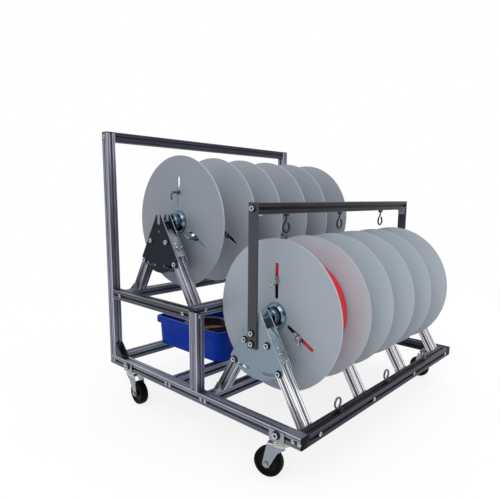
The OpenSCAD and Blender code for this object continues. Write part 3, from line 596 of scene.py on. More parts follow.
def painted_edge_highlight(material, tone, bright):
    """The tone of the sheet's faces, which look along X, and a brighter one painted on the cut
    edges, whose normals do not, as a highlight."""
    facing = add(material, "ShaderNodeTexCoord").outputs["Normal"]
    split = add(material, "ShaderNodeSeparateXYZ", {0: facing})
    flat = add(material, "ShaderNodeMath", {0: split.outputs["X"]}, operation="ABSOLUTE")
    edge = add(material, "ShaderNodeMapRange",
               {"Value": flat.outputs[0], "From Min": 0.9, "From Max": 0.4})
    return add(material, "ShaderNodeMix", {0: edge.outputs[0], 6: tone.outputs[2],
                                           7: colour(bright)}, data_type="RGBA")


def zinc_plating(name, light, dark, rough=0.3, metallic=0.92, cut=None):
    """Zinc on rolled steel: soft clouds in tone and gloss, faint rolling marks, and a painted
    highlight on the cut edges where a tone is given for it."""
    material = blank(name)
    place = add(material, "ShaderNodeTexCoord").outputs["Object"]
    cloud = add(material, "ShaderNodeTexNoise",
                {"Vector": place, "Scale": marks_of(18), "Detail": 5.0, "Roughness": 0.62})
    fine = add(material, "ShaderNodeTexNoise",
               {"Vector": place, "Scale": marks_of(1.5), "Detail": 2.0})
    metal, gloss = uneven(material, cloud, light, dark, rough - 0.08, rough + 0.12)
    if cut:
        metal = painted_edge_highlight(material, metal, cut)
    relief = add(material, "ShaderNodeBump", {"Height": fine.outputs["Fac"], "Strength": 0.08,
                                              "Distance": 0.0002})
    return close(material, add(material, "ShaderNodeBsdfPrincipled",
                               {"Base Color": metal.outputs[2], "Metallic": metallic,
                                "Roughness": gloss.outputs[0], "Normal": relief.outputs[0]}))


def powder_coat(name, light, dark, rough=0.42, shine=0.5, cut=None):
    """Baked powder: an even, faintly dusty tone with an orange-peel surface about 1 mm across,
    and a painted highlight on the cut edges where a tone is given for it."""
    material = blank(name)
    place = add(material, "ShaderNodeTexCoord").outputs["Object"]
    peel = add(material, "ShaderNodeTexNoise",
               {"Vector": place, "Scale": marks_of(1.1), "Detail": 2.0})
    dust = add(material, "ShaderNodeTexNoise",
               {"Vector": place, "Scale": marks_of(38), "Detail": 5.0})
    paint, gloss = uneven(material, dust, light, dark, rough - 0.06, rough + 0.1)
    if cut:
        paint = painted_edge_highlight(material, paint, cut)
    relief = add(material, "ShaderNodeBump", {"Height": peel.outputs["Fac"], "Strength": 0.2,
                                              "Distance": 0.0002})
    return close(material, add(material, "ShaderNodeBsdfPrincipled",
                               {"Base Color": paint.outputs[2], "Roughness": gloss.outputs[0],
                                "Specular IOR Level": shine, "Normal": relief.outputs[0]}))


# The cut tones are painted highlights along the plates' edges.
coat("front_cradle_plates", zinc_plating("zinc_plate", "#8b9ba7", "#71818d", 0.36,
                                         cut="#eef3f5"))
coat("rear_cradle_plates", powder_coat("black_powder_plate", "#121a25", "#090f18", 0.34, 0.1,
                                       cut="#8f979d"))
coat("brake_straps", zinc_plating("zinc_strap", "#cfdae1", "#8496a4", 0.2, 0.75))
coat("leg_brackets", zinc_plating("cast_bracket", "#aeb1ba", "#878b95", 0.4))
coat("arch_brackets", zinc_plating("zinc_angle", "#c4c7cb", "#9fa3a8", 0.3))
coat("arch_posts", powder_coat("slate_flat_bar", "#414449", "#303237", 0.36, 0.15))
coat("post_gussets", powder_coat("black_casting", "#33353a", "#1f2126", 0.34, 0.25))


# The cradle bolts: hexagon-headed steel, cold forged, with a turned chamfer and a stamped
# washer, all zinc plated. Four hold each plate, and the arch's feet and rail have six more.
SCUFF_HIGH = 0.75
WAVE_LENGTH = 2 * math.pi / 20
HEX_HALF, HEX_HIGH, HEX_DISH = 0.0066, 0.0050, 0.0005
WASHER_R, WASHER_T = 0.0100, 0.0016
HEAD_SIDES = 24
NUTTED_FROM, NUTTED_TO = 0.018, 0.021
NUT_BEHIND = 0.008


def bright_steel(name, light, dark, rough=0.2, thread=None):
    """Plated small parts: bright, with light scuffs a few millimetres long. With thread, the
    pitch in metres, fine rolled ridges run round the X axis. A wave of scale 1 repeats in
    WAVE_LENGTH, so the scale is that length over the pitch."""
    material = blank(name)
    place = add(material, "ShaderNodeTexCoord").outputs["Object"]
    scuff = add(material, "ShaderNodeTexNoise",
                {"Vector": place, "Scale": marks_of(7.7), "Detail": 3.0, "Distortion": 0.6})
    metal, gloss = uneven(material, scuff, light, dark, rough - 0.06, rough + 0.12, SCUFF_HIGH)
    inputs = {"Base Color": metal.outputs[2], "Metallic": 1.0, "Roughness": gloss.outputs[0]}
    if thread:
        ridge = add(material, "ShaderNodeTexWave",
                    {"Vector": place, "Scale": WAVE_LENGTH / thread},
                    wave_type="BANDS", bands_direction="X")
        relief = add(material, "ShaderNodeBump", {"Height": ridge.outputs["Fac"],
                                                  "Strength": 0.5, "Distance": 0.0004})
        inputs["Normal"] = relief.outputs[0]
    return close(material, add(material, "ShaderNodeBsdfPrincipled", inputs))


def forged_bolts(name, light, dark, shade, rough=0.18):
    """Forged and plated bolts: bright scuffed flats on a head, over a washer painted dark as the
    shade round the head's foot, and a dished middle painted dark as shade. A point's height
    and radius are the first two numbers of its bar_place."""
    material = blank(name)
    place = add(material, "ShaderNodeTexCoord").outputs["Object"]
    kept = add(material, "ShaderNodeAttribute", attribute_name="bar_place").outputs["Vector"]
    split = add(material, "ShaderNodeSeparateXYZ", {0: kept})
    scuff = add(material, "ShaderNodeTexNoise",
                {"Vector": place, "Scale": marks_of(3.3), "Detail": 2.0, "Distortion": 0.8})
    metal, gloss = uneven(material, scuff, light, dark, rough - 0.06, rough + 0.12, SCUFF_HIGH)
    above = add(material, "ShaderNodeMapRange",
                {"Value": split.outputs["X"], "From Min": WASHER_T + 0.0002,
                 "From Max": WASHER_T + 0.0012})
    beyond = add(material, "ShaderNodeMapRange",
                 {"Value": split.outputs["Y"], "From Min": HEX_HALF * 0.5,
                  "From Max": HEX_HALF * 0.66})
    unshaded = add(material, "ShaderNodeMath", {0: above.outputs[0], 1: beyond.outputs[0]},
                operation="MULTIPLY")
    # Painted shade: the washer and the dished middle take the dark tone.
    metal = add(material, "ShaderNodeMix", {0: unshaded.outputs[0], 6: colour(shade),
                                            7: metal.outputs[2]}, data_type="RGBA")
    return close(material, add(material, "ShaderNodeBsdfPrincipled",
                               {"Base Color": metal.outputs[2], "Metallic": 1.0,
                                "Roughness": gloss.outputs[0]}))


def hexagon(angle):
    """A hexagon's radius at an angle: its half width over the cosine of the angle from the
    nearest flat's middle."""
    from_flat = (angle + math.pi / 6) % (math.pi / 3) - math.pi / 6
    return HEX_HALF / np.cos(from_flat)


def hexagon_head(at, out, washer=True, size=1.0):
    """Washer and head in one grid: the radius follows the washer's edge, then the hexagon,
    which a cone cuts into a chamfer at the top, and then the dished face. Returns the shell
    and each point's height and radius."""
    angle = np.linspace(0, 2 * math.pi, HEAD_SIDES, endpoint=False)
    hexed = hexagon(angle + math.pi / 6)
    corner = hexed.max()
    foot = WASHER_T if washer else 0.0
    rim = WASHER_R if washer else hexed
    rows = [(0, 0), (0, rim), (foot * 0.8, rim), (foot, rim * 0.965), (foot, hexed),
            (foot + HEX_HIGH * 0.3, hexed), (foot + HEX_HIGH * 0.7, hexed),
            (foot + HEX_HIGH * 0.87, np.minimum(hexed, corner * 0.945)),
            (foot + HEX_HIGH, np.minimum(hexed, corner * 0.86)),
            (foot + HEX_HIGH, corner * 0.6), (foot + HEX_HIGH - HEX_DISH, corner * 0.54),
            (foot + HEX_HIGH - HEX_DISH, 0)]
    height = np.array([row[0] for row in rows])[:, None] + 0 * angle
    radius = np.array([row[1] + 0 * angle for row in rows])
    points = np.stack([at[0] + out * size * height, at[1] + size * radius * np.cos(angle),
                       at[2] + size * radius * np.sin(angle)], -1)
    above = height + (WASHER_T - foot)
    place = np.stack([above, radius, 0 * radius], -1).reshape(-1, 3)
    return (points, net(len(rows), len(angle))), place


def bolt_piece(name, heads):
    """Joins shells of heads and nuts, each with its points' heights and radii, in one piece."""
    shells, places = zip(*heads)
    return piece_of(name, shells, bolt_steel, "cart_frame", 30, np.concatenate(places))


bolt_steel = forged_bolts("zinc_hexagon_bolts", "#e6e8eb", "#7b7f87", "#2f3238")
heads = []
for part in loose_parts("cradle_bolts"):
    low, high, middle = span(part)
    from_axis = np.hypot(part[:, 1] - middle[1], part[:, 2] - middle[2])
    washer_x = np.median(part[from_axis > WASHER_R * 0.95, 0])
    out = 1 if high[0] - washer_x < washer_x - low[0] else -1
    face = (high[0] if out > 0 else low[0]) - out * (WASHER_T + HEX_HIGH)
    heads.append(hexagon_head((face, middle[1], middle[2]), out))
    if NUTTED_FROM < high[0] - low[0] < NUTTED_TO:
        nut_face = face - out * NUT_BEHIND
        heads.append(hexagon_head((nut_face, middle[1], middle[2]), -out, washer=False))
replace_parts(bolt_piece("hexagon_bolts", heads), "cradle_bolts")


# The small fasteners and guides: button screws in the frame's slots, the brakes' wing screws,
# and eyes bent from plated round rod, the upper ones as drops and the lower ones as rings.
screw_steel = bright_steel("zinc_button_screws", "#eceef2", "#141518")
for fasteners in ("brake_screws", "frame_screws"):
    coat(fasteners, screw_steel)
# The upper eyes are painted near black as a dark reflection in their plating.
coat("upper_wire_guides", bright_steel("bright_eye_bolts", "#4c4f54", "#08090a", 0.1))
coat("lower_wire_guides", bright_steel("worn_eye_bolts", "#8b8e94", "#141619", 0.16))


# The end caps: covers of moulded black nylon with a bevelled edge, pressed into the open ends
# of the bars.
CAP_CORNER = 0.0025
CAP_BEVEL = 0.0012


def rounded_ring(half_x, half_y, radius, arc=6, shares=()):
    """A rounded rectangle: four quarter arcs about its corners' centres, joined by points at
    the given shares of each straight side."""
    quarter = np.radians(np.linspace(0, 90, arc))
    points = []
    for turn, (sx, sy) in enumerate([(1, 1), (-1, 1), (-1, -1), (1, -1)]):
        angle = quarter + turn * math.pi / 2
        points.append(np.stack([sx * (half_x - radius) + radius * np.cos(angle),
                                sy * (half_y - radius) + radius * np.sin(angle)], -1))
    ring = []
    for turn in range(4):
        ring.append(points[turn])
        start, end = points[turn][-1], points[(turn + 1) % 4][0]
        ring.append(start + (end - start) * np.array(shares, float)[:, None])
    return np.concatenate(ring)


caps = []
for part in loose_parts("end_caps"):
    low, high, middle = span(part)
    thin = int(np.argmin(high - low))
    away = 1 if thin == 2 or middle[thin] > 0 else -1
    inner_face, outer_face = (low, high) if away > 0 else (high, low)
    levels = (inner_face[thin], outer_face[thin] - away * CAP_BEVEL,
              outer_face[thin] - away * CAP_BEVEL * 0.3, outer_face[thin])
    ring = rounded_ring(BAR / 2, BAR / 2, CAP_CORNER)
    rings = np.stack([ring * (1 - inset / (BAR / 2))
                      for inset in (0, 0, CAP_BEVEL * 0.35, CAP_BEVEL)])
    caps.append(closed_tube(laid_across(thin, middle, levels, rings)))
cap_nylon = moulded_plastic("black_nylon_caps", "#0a0a0b", "#050506", 0.3, shine=0.08)
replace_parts(piece_of("bevelled_end_caps", caps, cap_nylon, "cart_frame", 50), "end_caps")


# The reels. Each has two discs of satin grey coated sheet with a pale cut edge, a zinc-plated
# hub turned from bar, and a ground steel axle.
OUTER_DISC_BELOW = -0.28
WORN_FROM, WORN_TO = 0.0009, 0.0004
RINGS_FROM, RINGS_TO, RING_APART = 0.045, 0.075, 0.0121
# Each row's light and dark tones and the outermost left disc's darker one. The inner discs'
# lighter tones are painted light in the shade between the discs, and the rear row's darker tones
# are painted shade.
ROW_TONES = {"f": ("#b5bec6", "#a9b2ba", "#8d959f"), "r": ("#a2a9b2", "#959ca6", "#797f89")}


def about_axis(material, place, centre):
    """A point's place along a reel's axle, which lies along X through a centre, and its
    distance from the axle: the length of what is left across it."""
    local = add(material, "ShaderNodeVectorMath", {0: place, 1: centre}, operation="SUBTRACT")
    split = add(material, "ShaderNodeSeparateXYZ", {0: local.outputs[0]})
    flat = add(material, "ShaderNodeCombineXYZ", {"Y": split.outputs["Y"],
                                                  "Z": split.outputs["Z"]})
    radius = add(material, "ShaderNodeVectorMath", {0: flat.outputs[0]}, operation="LENGTH")
    return split.outputs["X"], radius.outputs["Value"]


def satin_sheet(name, centre, edge_at, light, dark, outer_disc_tone, edge):
    """Coated sheet: broad soft clouds, fine grain, faint rings pressed round the hub, and a
    pale line where the coating is worn off the disc's cut edge. The row's outermost disc on
    the left is a shade darker than the rest, which are painted lighter as light in the
    shade that falls between the discs."""
    material = blank(name)
    place = add(material, "ShaderNodeTexCoord").outputs["Object"]
    _, radius = about_axis(material, place, centre)
    cloud = add(material, "ShaderNodeTexNoise",
                {"Vector": place, "Scale": marks_of(200), "Detail": 4.0})
    grain = add(material, "ShaderNodeTexNoise",
                {"Vector": place, "Scale": marks_of(2.4), "Detail": 3.0})
    sheet, gloss = uneven(material, cloud, light, dark, 0.34, 0.46)
    whole = add(material, "ShaderNodeSeparateXYZ", {0: place})
    outermost = add(material, "ShaderNodeMath", {0: whole.outputs["X"], 1: OUTER_DISC_BELOW},
                    operation="LESS_THAN")
    sheet = add(material, "ShaderNodeMix", {0: outermost.outputs[0], 6: sheet.outputs[2],
                                            7: colour(outer_disc_tone)}, data_type="RGBA")
    worn = add(material, "ShaderNodeMapRange",
               {"Value": radius, "From Min": edge_at - WORN_FROM,
                "From Max": edge_at - WORN_TO})
    sheet = add(material, "ShaderNodeMix", {0: worn.outputs[0], 6: sheet.outputs[2],
                                            7: colour(edge)}, data_type="RGBA")
    ring_place = add(material, "ShaderNodeCombineXYZ", {"X": radius})
    rings = add(material, "ShaderNodeTexWave",
                {"Vector": ring_place.outputs[0], "Scale": WAVE_LENGTH / RING_APART},
                wave_type="BANDS", bands_direction="X")
    near_hub = add(material, "ShaderNodeMapRange",
                   {"Value": radius, "From Min": RINGS_FROM, "From Max": RINGS_TO,
                    "To Min": 1.0, "To Max": 0.0})
    pressed = add(material, "ShaderNodeMath", {0: rings.outputs["Fac"], 1: near_hub.outputs[0]},
                  operation="MULTIPLY")
    fine = add(material, "ShaderNodeMath", {0: grain.outputs["Fac"], 1: 0.12},
               operation="MULTIPLY")
    height = add(material, "ShaderNodeMath", {0: pressed.outputs[0], 1: fine.outputs[0]},
                 operation="ADD")
    relief = add(material, "ShaderNodeBump", {"Height": height.outputs[0], "Strength": 0.35,
                                              "Distance": 0.0003})
    return close(material, add(material, "ShaderNodeBsdfPrincipled",
                               {"Base Color": sheet.outputs[2],
                                "Roughness": gloss.outputs[0], "Normal": relief.outputs[0]}))


def turned_zinc(name, centre, light, dark, rough=0.22):
    """Turned and zinc-plated steel: tool marks run in rings about the reel's axis."""
    material = blank(name)
    place = add(material, "ShaderNodeTexCoord").outputs["Object"]
    along, radius = about_axis(material, place, centre)
    ring_place = add(material, "ShaderNodeCombineXYZ", {"X": along, "Y": radius})
    rings = add(material, "ShaderNodeTexNoise",
                {"Vector": ring_place.outputs[0], "Scale": marks_of(1.1), "Detail": 2.0})
    cloud = add(material, "ShaderNodeTexNoise",
                {"Vector": place, "Scale": marks_of(16.7), "Detail": 4.0})
    metal = add(material, "ShaderNodeMix", {0: cloud.outputs["Fac"], 6: colour(dark),
                                            7: colour(light)}, data_type="RGBA")
    gloss = add(material, "ShaderNodeMapRange",
                {"Value": rings.outputs["Fac"], "From Min": NOISE_LOW, "From Max": NOISE_HIGH,
                 "To Min": rough - 0.08, "To Max": rough + 0.1})
    relief = add(material, "ShaderNodeBump", {"Height": rings.outputs["Fac"], "Strength": 0.1,
                                              "Distance": 0.0002})
    return close(material, add(material, "ShaderNodeBsdfPrincipled",
                               {"Base Color": metal.outputs[2], "Metallic": 1.0,
                                "Roughness": gloss.outputs[0], "Normal": relief.outputs[0]}))


for reel, axis_at in reel_axes.items():
    disc_low, disc_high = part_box("discs_" + reel)
    disc_r = (disc_high[2] - disc_low[2]) / 2
    coat("discs_" + reel, satin_sheet("satin_sheet_" + reel, axis_at, disc_r,
                                      *ROW_TONES[reel[0]], "#9ca3ab"))
    coat("hub_" + reel, turned_zinc("zinc_hub_" + reel, axis_at, "#839aaa", "#506879"))
    coat("axle_" + reel, turned_zinc("ground_axle_" + reel, axis_at, "#a5b8c4", "#6f8595", 0.16))


# The front reels' spreader rods: 8 mm steel rod with rolled threads at both ends. Each has
# four washers and two die-cast wing nuts, and clamps in the discs' radial slots.
ROD_R = 0.004
ROD_OUT = 0.092
ROD_HALF = 0.087
ROD_TURNS = np.radians([180, 60, -60])
THREAD_AT, THREAD_DEEP, PITCH = 0.0665, 0.0005, 0.00125
SEAT_R = ROD_R - 0.0002
DISC_FACE = 0.070
DISC_T = 0.004
SPACER_R, SPACER_T = 0.0088, 0.0015
WING_TURN = math.radians(35)
WING_ROOT, WING_REACH = 0.0042, 0.0142
WING_FOOT, WING_RISE = 0.0036, 0.0084
WING_HALF, WING_SPREAD, WING_THICK = 0.0031, 0.0027, 0.0026


def turned(profile, centre, axis, sides=20):
    """A profile of lengths and radii carried round an axis through a centre: each radius
    multiplies the cosine and sine of the angle in the two directions across the axis."""
    axis = np.asarray(axis, float) / np.linalg.norm(axis)
    first = np.cross(axis, [0, 0, 1] if abs(axis[2]) < 0.9 else [1, 0, 0])
    first /= np.linalg.norm(first)
    second = np.cross(axis, first)
    profile = np.asarray(profile, float)
    angle = np.linspace(0, 2 * math.pi, sides, endpoint=False)
    ring = np.cos(angle)[:, None] * first + np.sin(angle)[:, None] * second
    points = (np.asarray(centre, float) + profile[:, None, :1] * axis
              + profile[:, None, 1:] * ring[None])
    return points, net(len(profile), sides)


def mirrored(right, middle=()):
    """A profile from its right half: that half turned over, the middle, and the half."""
    right = np.array(right)
    return np.concatenate([right[::-1] * [-1, 1], np.reshape(middle, (-1, 2)), right])


def threaded_rod():
    """Lengths and radii of a rod whose ends swell and shrink by a thread's depth at each
    half pitch, with a chamfer at each end."""
    steps = np.arange(THREAD_AT, ROD_HALF - 0.0012, PITCH / 2)
    thread = np.column_stack([steps, ROD_R - THREAD_DEEP * (np.arange(len(steps)) % 2)])
    end = [[ROD_HALF - 0.001, ROD_R - 0.0004], [ROD_HALF, ROD_R - 0.0014], [ROD_HALF, 0]]
    return mirrored(np.concatenate([[[THREAD_AT - 0.001, ROD_R]], thread, end]))


def spacer(at):
    """A washer's profile: its four corners, from the rod out to the rim and back."""
    return [(at, SEAT_R), (at, SPACER_R), (at + SPACER_T, SPACER_R), (at + SPACER_T, SEAT_R)]


def wing(centre, side, turn):
    """One wing of a nut. Its middle line runs out from the nut's side and rises as a power of
    the distance, and its section is an ellipse, long up the axis and thin across, that swells
    and then closes at the tip as a circle does: by the root of one less a power."""
    u = np.concatenate([np.linspace(0, 0.8, 7), [0.88, 0.94, 0.98, 1.0]])
    v = np.linspace(0, 2 * math.pi, 12, endpoint=False)

    def closing(start, power):
        """One as far as the start, then down to nothing at the tip, by that root."""
        return np.sqrt(1 - np.clip((u - start) / (1 - start), 0, 1) ** power)

    out = WING_ROOT + WING_REACH * u
    rise = WING_FOOT + WING_RISE * u ** 1.4
    tall = (WING_HALF + WING_SPREAD * u) * closing(0.45, 2.4)
    thick = WING_THICK * (1 - 0.35 * u) * closing(0.7, 2)
    across = thick[:, None] * np.sin(v)
    x = side * (rise[:, None] + tall[:, None] * np.cos(v))
    outward = np.array([math.sin(turn), -math.cos(turn)])
    sideways = np.array([math.cos(turn), math.sin(turn)])
    flat = out[:, None, None] * outward + across[..., None] * sideways
    points = np.stack([centre[0] + x, centre[1] + flat[..., 0], centre[2] + flat[..., 1]], -1)
    return points, net(len(u), len(v)), lid(0, len(v))


nut_line = [(0, SEAT_R), (0, 0.0076), (0.0048, 0.0073), (0.0090, 0.0061), (0.0100, 0.0052),
            (0.0100, SEAT_R)]
rod_steel = bright_steel("bright_threaded_rods", "#b9bcc1", "#5b5f66", 0.18)
nut_steel = bright_steel("cast_wing_nuts", "#eceef1", "#1c1e22", 0.16)
for reel in ("f1", "f2", "f3"):
    middle = np.array(reel_axes[reel])
    rods, nuts = [], []
    for spot in ROD_TURNS:
        at = middle + ROD_OUT * np.array([0, math.sin(spot), -math.cos(spot)])
        rods.append(turned(threaded_rod(), at, (1, 0, 0)))
        for side in (-1, 1):
            for face in (DISC_FACE, DISC_FACE - DISC_T - SPACER_T):
                rods.append(turned(spacer(face), at, (side, 0, 0)))
            nut_at = at + side * np.array([DISC_FACE + SPACER_T, 0, 0])
            nuts.append(turned(nut_line, nut_at, (side, 0, 0)))
            for half_turn in (0, math.pi):
                nuts.append(wing(nut_at, side, spot + WING_TURN + half_turn))
    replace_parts(piece_of("threaded_rods_" + reel, rods, rod_steel, "reel_" + reel, 40),
                "rods_" + reel)
    piece_of("wing_nuts_" + reel, nuts, nut_steel, "reel_" + reel, 50)


# The rear reels' rods: the same steel rod with plain nuts, bent at the left end into a short
# handle. The rolled thread shows as fine ridges.
bent_steel = bright_steel("bright_bent_rods", "#a4a8af", "#43474e", 0.18, thread=PITCH)
for reel in ("r1", "r2", "r3"):
    coat("rods_" + reel, bent_steel)


# The wound wire: thin red building wire laid turn by turn on the first front reel's rods. Its
# soft vinyl sheath has a low shine, and the turns show as ridges on every side.
TURN_APART = 0.0034
TURN_RISE = 0.0007
LOOSE_LAY = 0.0003
WOUND_CORNER = 0.006
WOUND_FROM = ROD_OUT + ROD_R + TURN_RISE


def wound_wire(centre, low, high, half_width):
    """A rounded rectangle in radius and width, carried round the axis. Its outline swells by
    a rectified sine at each turn, and the phase gains one turn in a full circle, so that the
    ridges wind on as one wire. A slow sine in the angle keeps the lay from being perfect."""
    ring = rounded_ring(half_width, (high - low) / 2, WOUND_CORNER, 7) + [0, (high + low) / 2]
    outline = np.concatenate([ring, ring[:1]])
    run = np.concatenate([[0], np.cumsum(np.linalg.norm(np.diff(outline, axis=0), axis=1))])
    turns = int(run[-1] / TURN_APART)
    steps = np.linspace(0, run[-1], turns * 5, endpoint=False)
    width = np.interp(steps, run, outline[:, 0])
    radius = np.interp(steps, run, outline[:, 1])
    along = np.gradient(np.stack([width, radius], -1), axis=0)
    along /= np.linalg.norm(along, axis=1, keepdims=True)
    angle = np.linspace(0, 2 * math.pi, 120, endpoint=False)
    phase = steps[:, None] / run[-1] * turns + angle[None] / (2 * math.pi)
    swell = TURN_RISE * (np.abs(np.sin(math.pi * phase)) - 1)
    swell = swell - LOOSE_LAY * (1 + np.sin(3 * angle + steps[:, None] * 60))
    w = width[:, None] + swell * along[:, 1:2]
    r = radius[:, None] - swell * along[:, 0:1]
    points = np.stack([centre[0] + w, centre[1] + r * np.cos(angle),
                       centre[2] + r * np.sin(angle)], -1)
    return points, net(len(steps), len(angle), looped=True)


low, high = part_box("wire_coil")
red_sheath = moulded_plastic("red_wire_sheath", "#e03c49", "#c42a37", 0.4, shine=0.2)
coil = piece_of("wound_red_wire", [wound_wire(reel_axes["f1"], WOUND_FROM,
                                              (high[2] - low[2]) / 2, (high[0] - low[0]) / 2)],
                red_sheath, "reel_f1", sharp=80)
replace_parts(coil, "wire_coil")


# The casters: pressed and zinc-plated steel forks and ball races under an angle bracket that
# is bolted to the side rail. The races are polished by rolling.
GAP_HEIGHTS = (0.0972, 0.0992)
BRACKET_RACE, FORK_RACE = (0.0, 0.1038), (0.0916, 0.12)
BOLT_SIZE = 1.12


def caster_zinc(name, light, dark, race_heights):
    """Bright zinc on pressed steel: soft broad clouds, a glossier and lighter band between two
    heights, where the races turn on their balls, and painted shade in the gap between the
    races."""
    material = blank(name)
    place = add(material, "ShaderNodeTexCoord").outputs["Object"]
    cloud = add(material, "ShaderNodeTexNoise",
                {"Vector": place, "Scale": marks_of(26), "Detail": 3.0})
    split = add(material, "ShaderNodeSeparateXYZ", {0: place})
    bands = []
    for low, high in (race_heights, GAP_HEIGHTS):
        above = add(material, "ShaderNodeMath", {0: split.outputs["Z"], 1: low},
                    operation="GREATER_THAN")
        below = add(material, "ShaderNodeMath", {0: split.outputs["Z"], 1: high},
                    operation="LESS_THAN")
        bands.append(add(material, "ShaderNodeMath", {0: above.outputs[0], 1: below.outputs[0]},
                         operation="MULTIPLY"))
    race, gap = bands
    metal, dull = uneven(material, cloud, light, dark, 0.24, 0.36)
    metal = add(material, "ShaderNodeMix", {0: race.outputs[0], 6: metal.outputs[2],
                                            7: colour("#dcdbd8")}, data_type="RGBA")
    # Painted shade in the gap between the races.
    metal = add(material, "ShaderNodeMix", {0: gap.outputs[0], 6: metal.outputs[2],
                                            7: colour("#26282c")}, data_type="RGBA")
    polish = add(material, "ShaderNodeMapRange",
                 {"Value": race.outputs[0], "To Min": 0.0, "To Max": -0.16})
    gloss = add(material, "ShaderNodeMath", {0: dull.outputs[0], 1: polish.outputs[0]},
                operation="ADD")
    return close(material, add(material, "ShaderNodeBsdfPrincipled",
                               {"Base Color": metal.outputs[2], "Metallic": 1.0,
                                "Roughness": gloss.outputs[0]}))


coat("caster_brackets", caster_zinc("zinc_caster_bracket", "#a2a8ae", "#7d848c",
                                    BRACKET_RACE))
bracket_low, bracket_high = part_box("caster_brackets")
rail_low, rail_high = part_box("base_side_rails")
fork_zinc = caster_zinc("zinc_caster_fork", "#a5abb1", "#727981", FORK_RACE)
heads = []
for corner, joint in joints_of("caster_").items():
    out = 1 if joint["pos_m"][0] > 0 else -1
    face = (bracket_high[0] if out > 0 else bracket_low[0]) - out * (WASHER_T + HEX_HIGH)
    heads.append(hexagon_head((face, joint["pos_m"][1], (rail_low[2] + rail_high[2]) / 2),
                              out, size=BOLT_SIZE))
    coat("caster_fork_" + corner, fork_zinc)
bolt_piece("caster_bolts", heads)


# The caster wheels: a black rubber tyre with a rounded tread, moulded on a grey-black nylon
# core that turns on the fork's axle bolt.
TYRE_R, TYRE_HALF = 0.0375, 0.0125
tyre_line = mirrored([(0.0045, 0.0374), (0.0078, 0.0370), (0.0104, 0.0360), (0.0120, 0.0346),
                      (TYRE_HALF, 0.0328), (TYRE_HALF, 0.0290), (0.0121, 0.0268),
                      (0.0110, 0.0250), (0.0092, 0.0240)], middle=(0, TYRE_R))
core_line = mirrored([(0.0092, 0.0247), (0.0096, 0.0240), (0.0088, 0.0226), (0.0080, 0.0205),
                      (0.0080, 0.0125), (0.0084, 0.0108), (0.0128, 0.0100), (0.0135, 0.0095),
                      (0.0135, 0.00405)])
tyre_rubber = moulded_plastic("black_tyre_rubber", "#070707", "#030303", 0.5, 1.4, 0.06)
core_nylon = moulded_plastic("grey_nylon_core", "#0c0c0d", "#060607", 0.38, 0.9, 0.08)
for corner, joint in joints_of("wheel_").items():
    tyre = piece_of("tyre_" + corner, [turned(tyre_line, joint["pos_m"], joint["axis"], 96)],
                    tyre_rubber, joint["child"], 45)
    piece_of("wheel_core_" + corner, [turned(core_line, joint["pos_m"], joint["axis"], 64)],
             core_nylon, joint["child"], 35)
    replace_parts(tyre, "caster_wheel_" + corner)


# The tote: an open box moulded in blue polypropylene. Its walls lean in to the floor and carry
# a shallow panel on every side, and its rim turns out and down in a rounded lip.
TOTE_LEAN = (0.014, 0.009)
WALL_T = 0.0025
LIP_DROP = 0.022
PANEL_FROM, PANEL_TO, PANEL_SLOPE, PANEL_DEEP = 0.0120, 0.0686, 0.0016, 0.0014
CORNER_INSETS, CORNER_RADII = (0, 0.009, 0.0235), (0.026, 0.022, 0.016)
ARC_POINTS = 8
WALL_SHARES = (0.05, 0.07, 0.3, 0.5, 0.7, 0.93, 0.95)


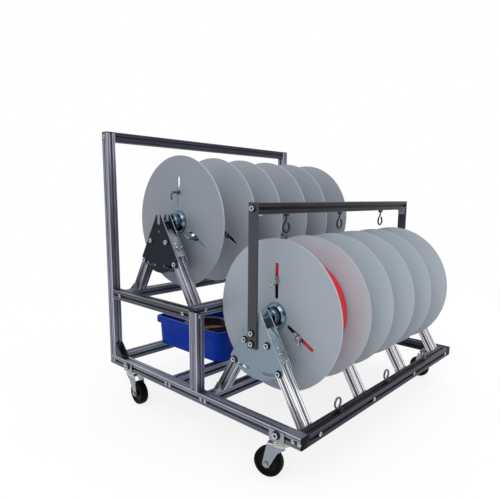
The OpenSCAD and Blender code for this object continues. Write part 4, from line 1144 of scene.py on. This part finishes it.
def tote_shell(low, high):
    """A profile of inset and height, carried round a rounded rectangle: up the outer wall,
    out under the rim, round the lip, over the top, and down the inner wall. On the straight
    sides a panel is let in by a fixed depth between two heights."""
    tall = high[2] - low[2]
    under = tall - LIP_DROP

    def lean(z):
        """The outer wall's inset at a height, along a straight line from foot to rim."""
        return TOTE_LEAN[0] + (TOTE_LEAN[1] - TOTE_LEAN[0]) * z / tall

    foot = [(lean(0) + 0.0040, 0.0, 0), (lean(0) + 0.0016, 0.0005, 0),
            (lean(0) + 0.0004, 0.0018, 0)]
    wall = [(lean(z), z, panel) for z, panel in (
        (0.0040, 0), (PANEL_FROM, 0), (PANEL_FROM + PANEL_SLOPE, 1), (0.0400, 1),
        (PANEL_TO - PANEL_SLOPE, 1), (PANEL_TO, 0), (under, 0))]
    lip = [(lean(0.099), tall - WALL_T - 0.0010, 0), (lean(0.1) - 0.001, tall - WALL_T, 0),
           (WALL_T + 0.001, tall - WALL_T, 0), (WALL_T, tall - WALL_T - 0.001, 0),
           (WALL_T, under + 0.0008, 0), (WALL_T - 0.0008, under, 0), (0.0008, under, 0),
           (0.0, under + 0.0008, 0), (0.0, tall - 0.0030, 0), (0.0006, tall - 0.0012, 0),
           (0.0018, tall - 0.0002, 0), (0.0030, tall, 0)]
    inner = [(TOTE_LEAN[1] + 0.0005, tall, 0), (TOTE_LEAN[1] + 0.0018, tall - 0.0006, 0),
             (TOTE_LEAN[1] + WALL_T, tall - 0.0022, 0), (lean(0.05) + WALL_T, 0.0500, 0),
             (lean(0.009) + WALL_T, 0.0090, 0), (lean(0.005) + WALL_T + 0.0009, 0.0052, 0),
             (lean(0.003) + WALL_T + 0.0036, 0.0034, 0), (lean(0) + WALL_T + 0.0070, 0.0030, 0)]
    rows = []
    for inset, level, panel in foot + wall + lip + inner:
        corner = float(np.interp(inset, CORNER_INSETS, CORNER_RADII))
        ring, let_in = (rounded_ring((high[0] - low[0]) / 2 - inset - deep,
                                     (high[1] - low[1]) / 2 - inset - deep,
                                     corner, ARC_POINTS, WALL_SHARES)
                        for deep in (0, PANEL_DEEP))
        if panel:
            number = np.arange(len(ring)) % (ARC_POINTS + len(WALL_SHARES)) - ARC_POINTS
            on_panel = (number > 0) & (number < len(WALL_SHARES) - 1)
            ring = np.where(on_panel[:, None], let_in, ring)
        rows.append(np.column_stack([ring, np.full(len(ring), level)]))
    return closed_tube(np.stack(rows)
                       + [(low[0] + high[0]) / 2, (low[1] + high[1]) / 2, low[2]])


tote_low, tote_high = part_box("tote")
tote_plastic = moulded_plastic("blue_polypropylene", "#0b39a8", "#082c8e", 0.42, 1.1, 0.06)
tote = piece_of("moulded_tote", [tote_shell(tote_low, tote_high)], tote_plastic, "tote_body",
                32)
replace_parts(tote, "tote")
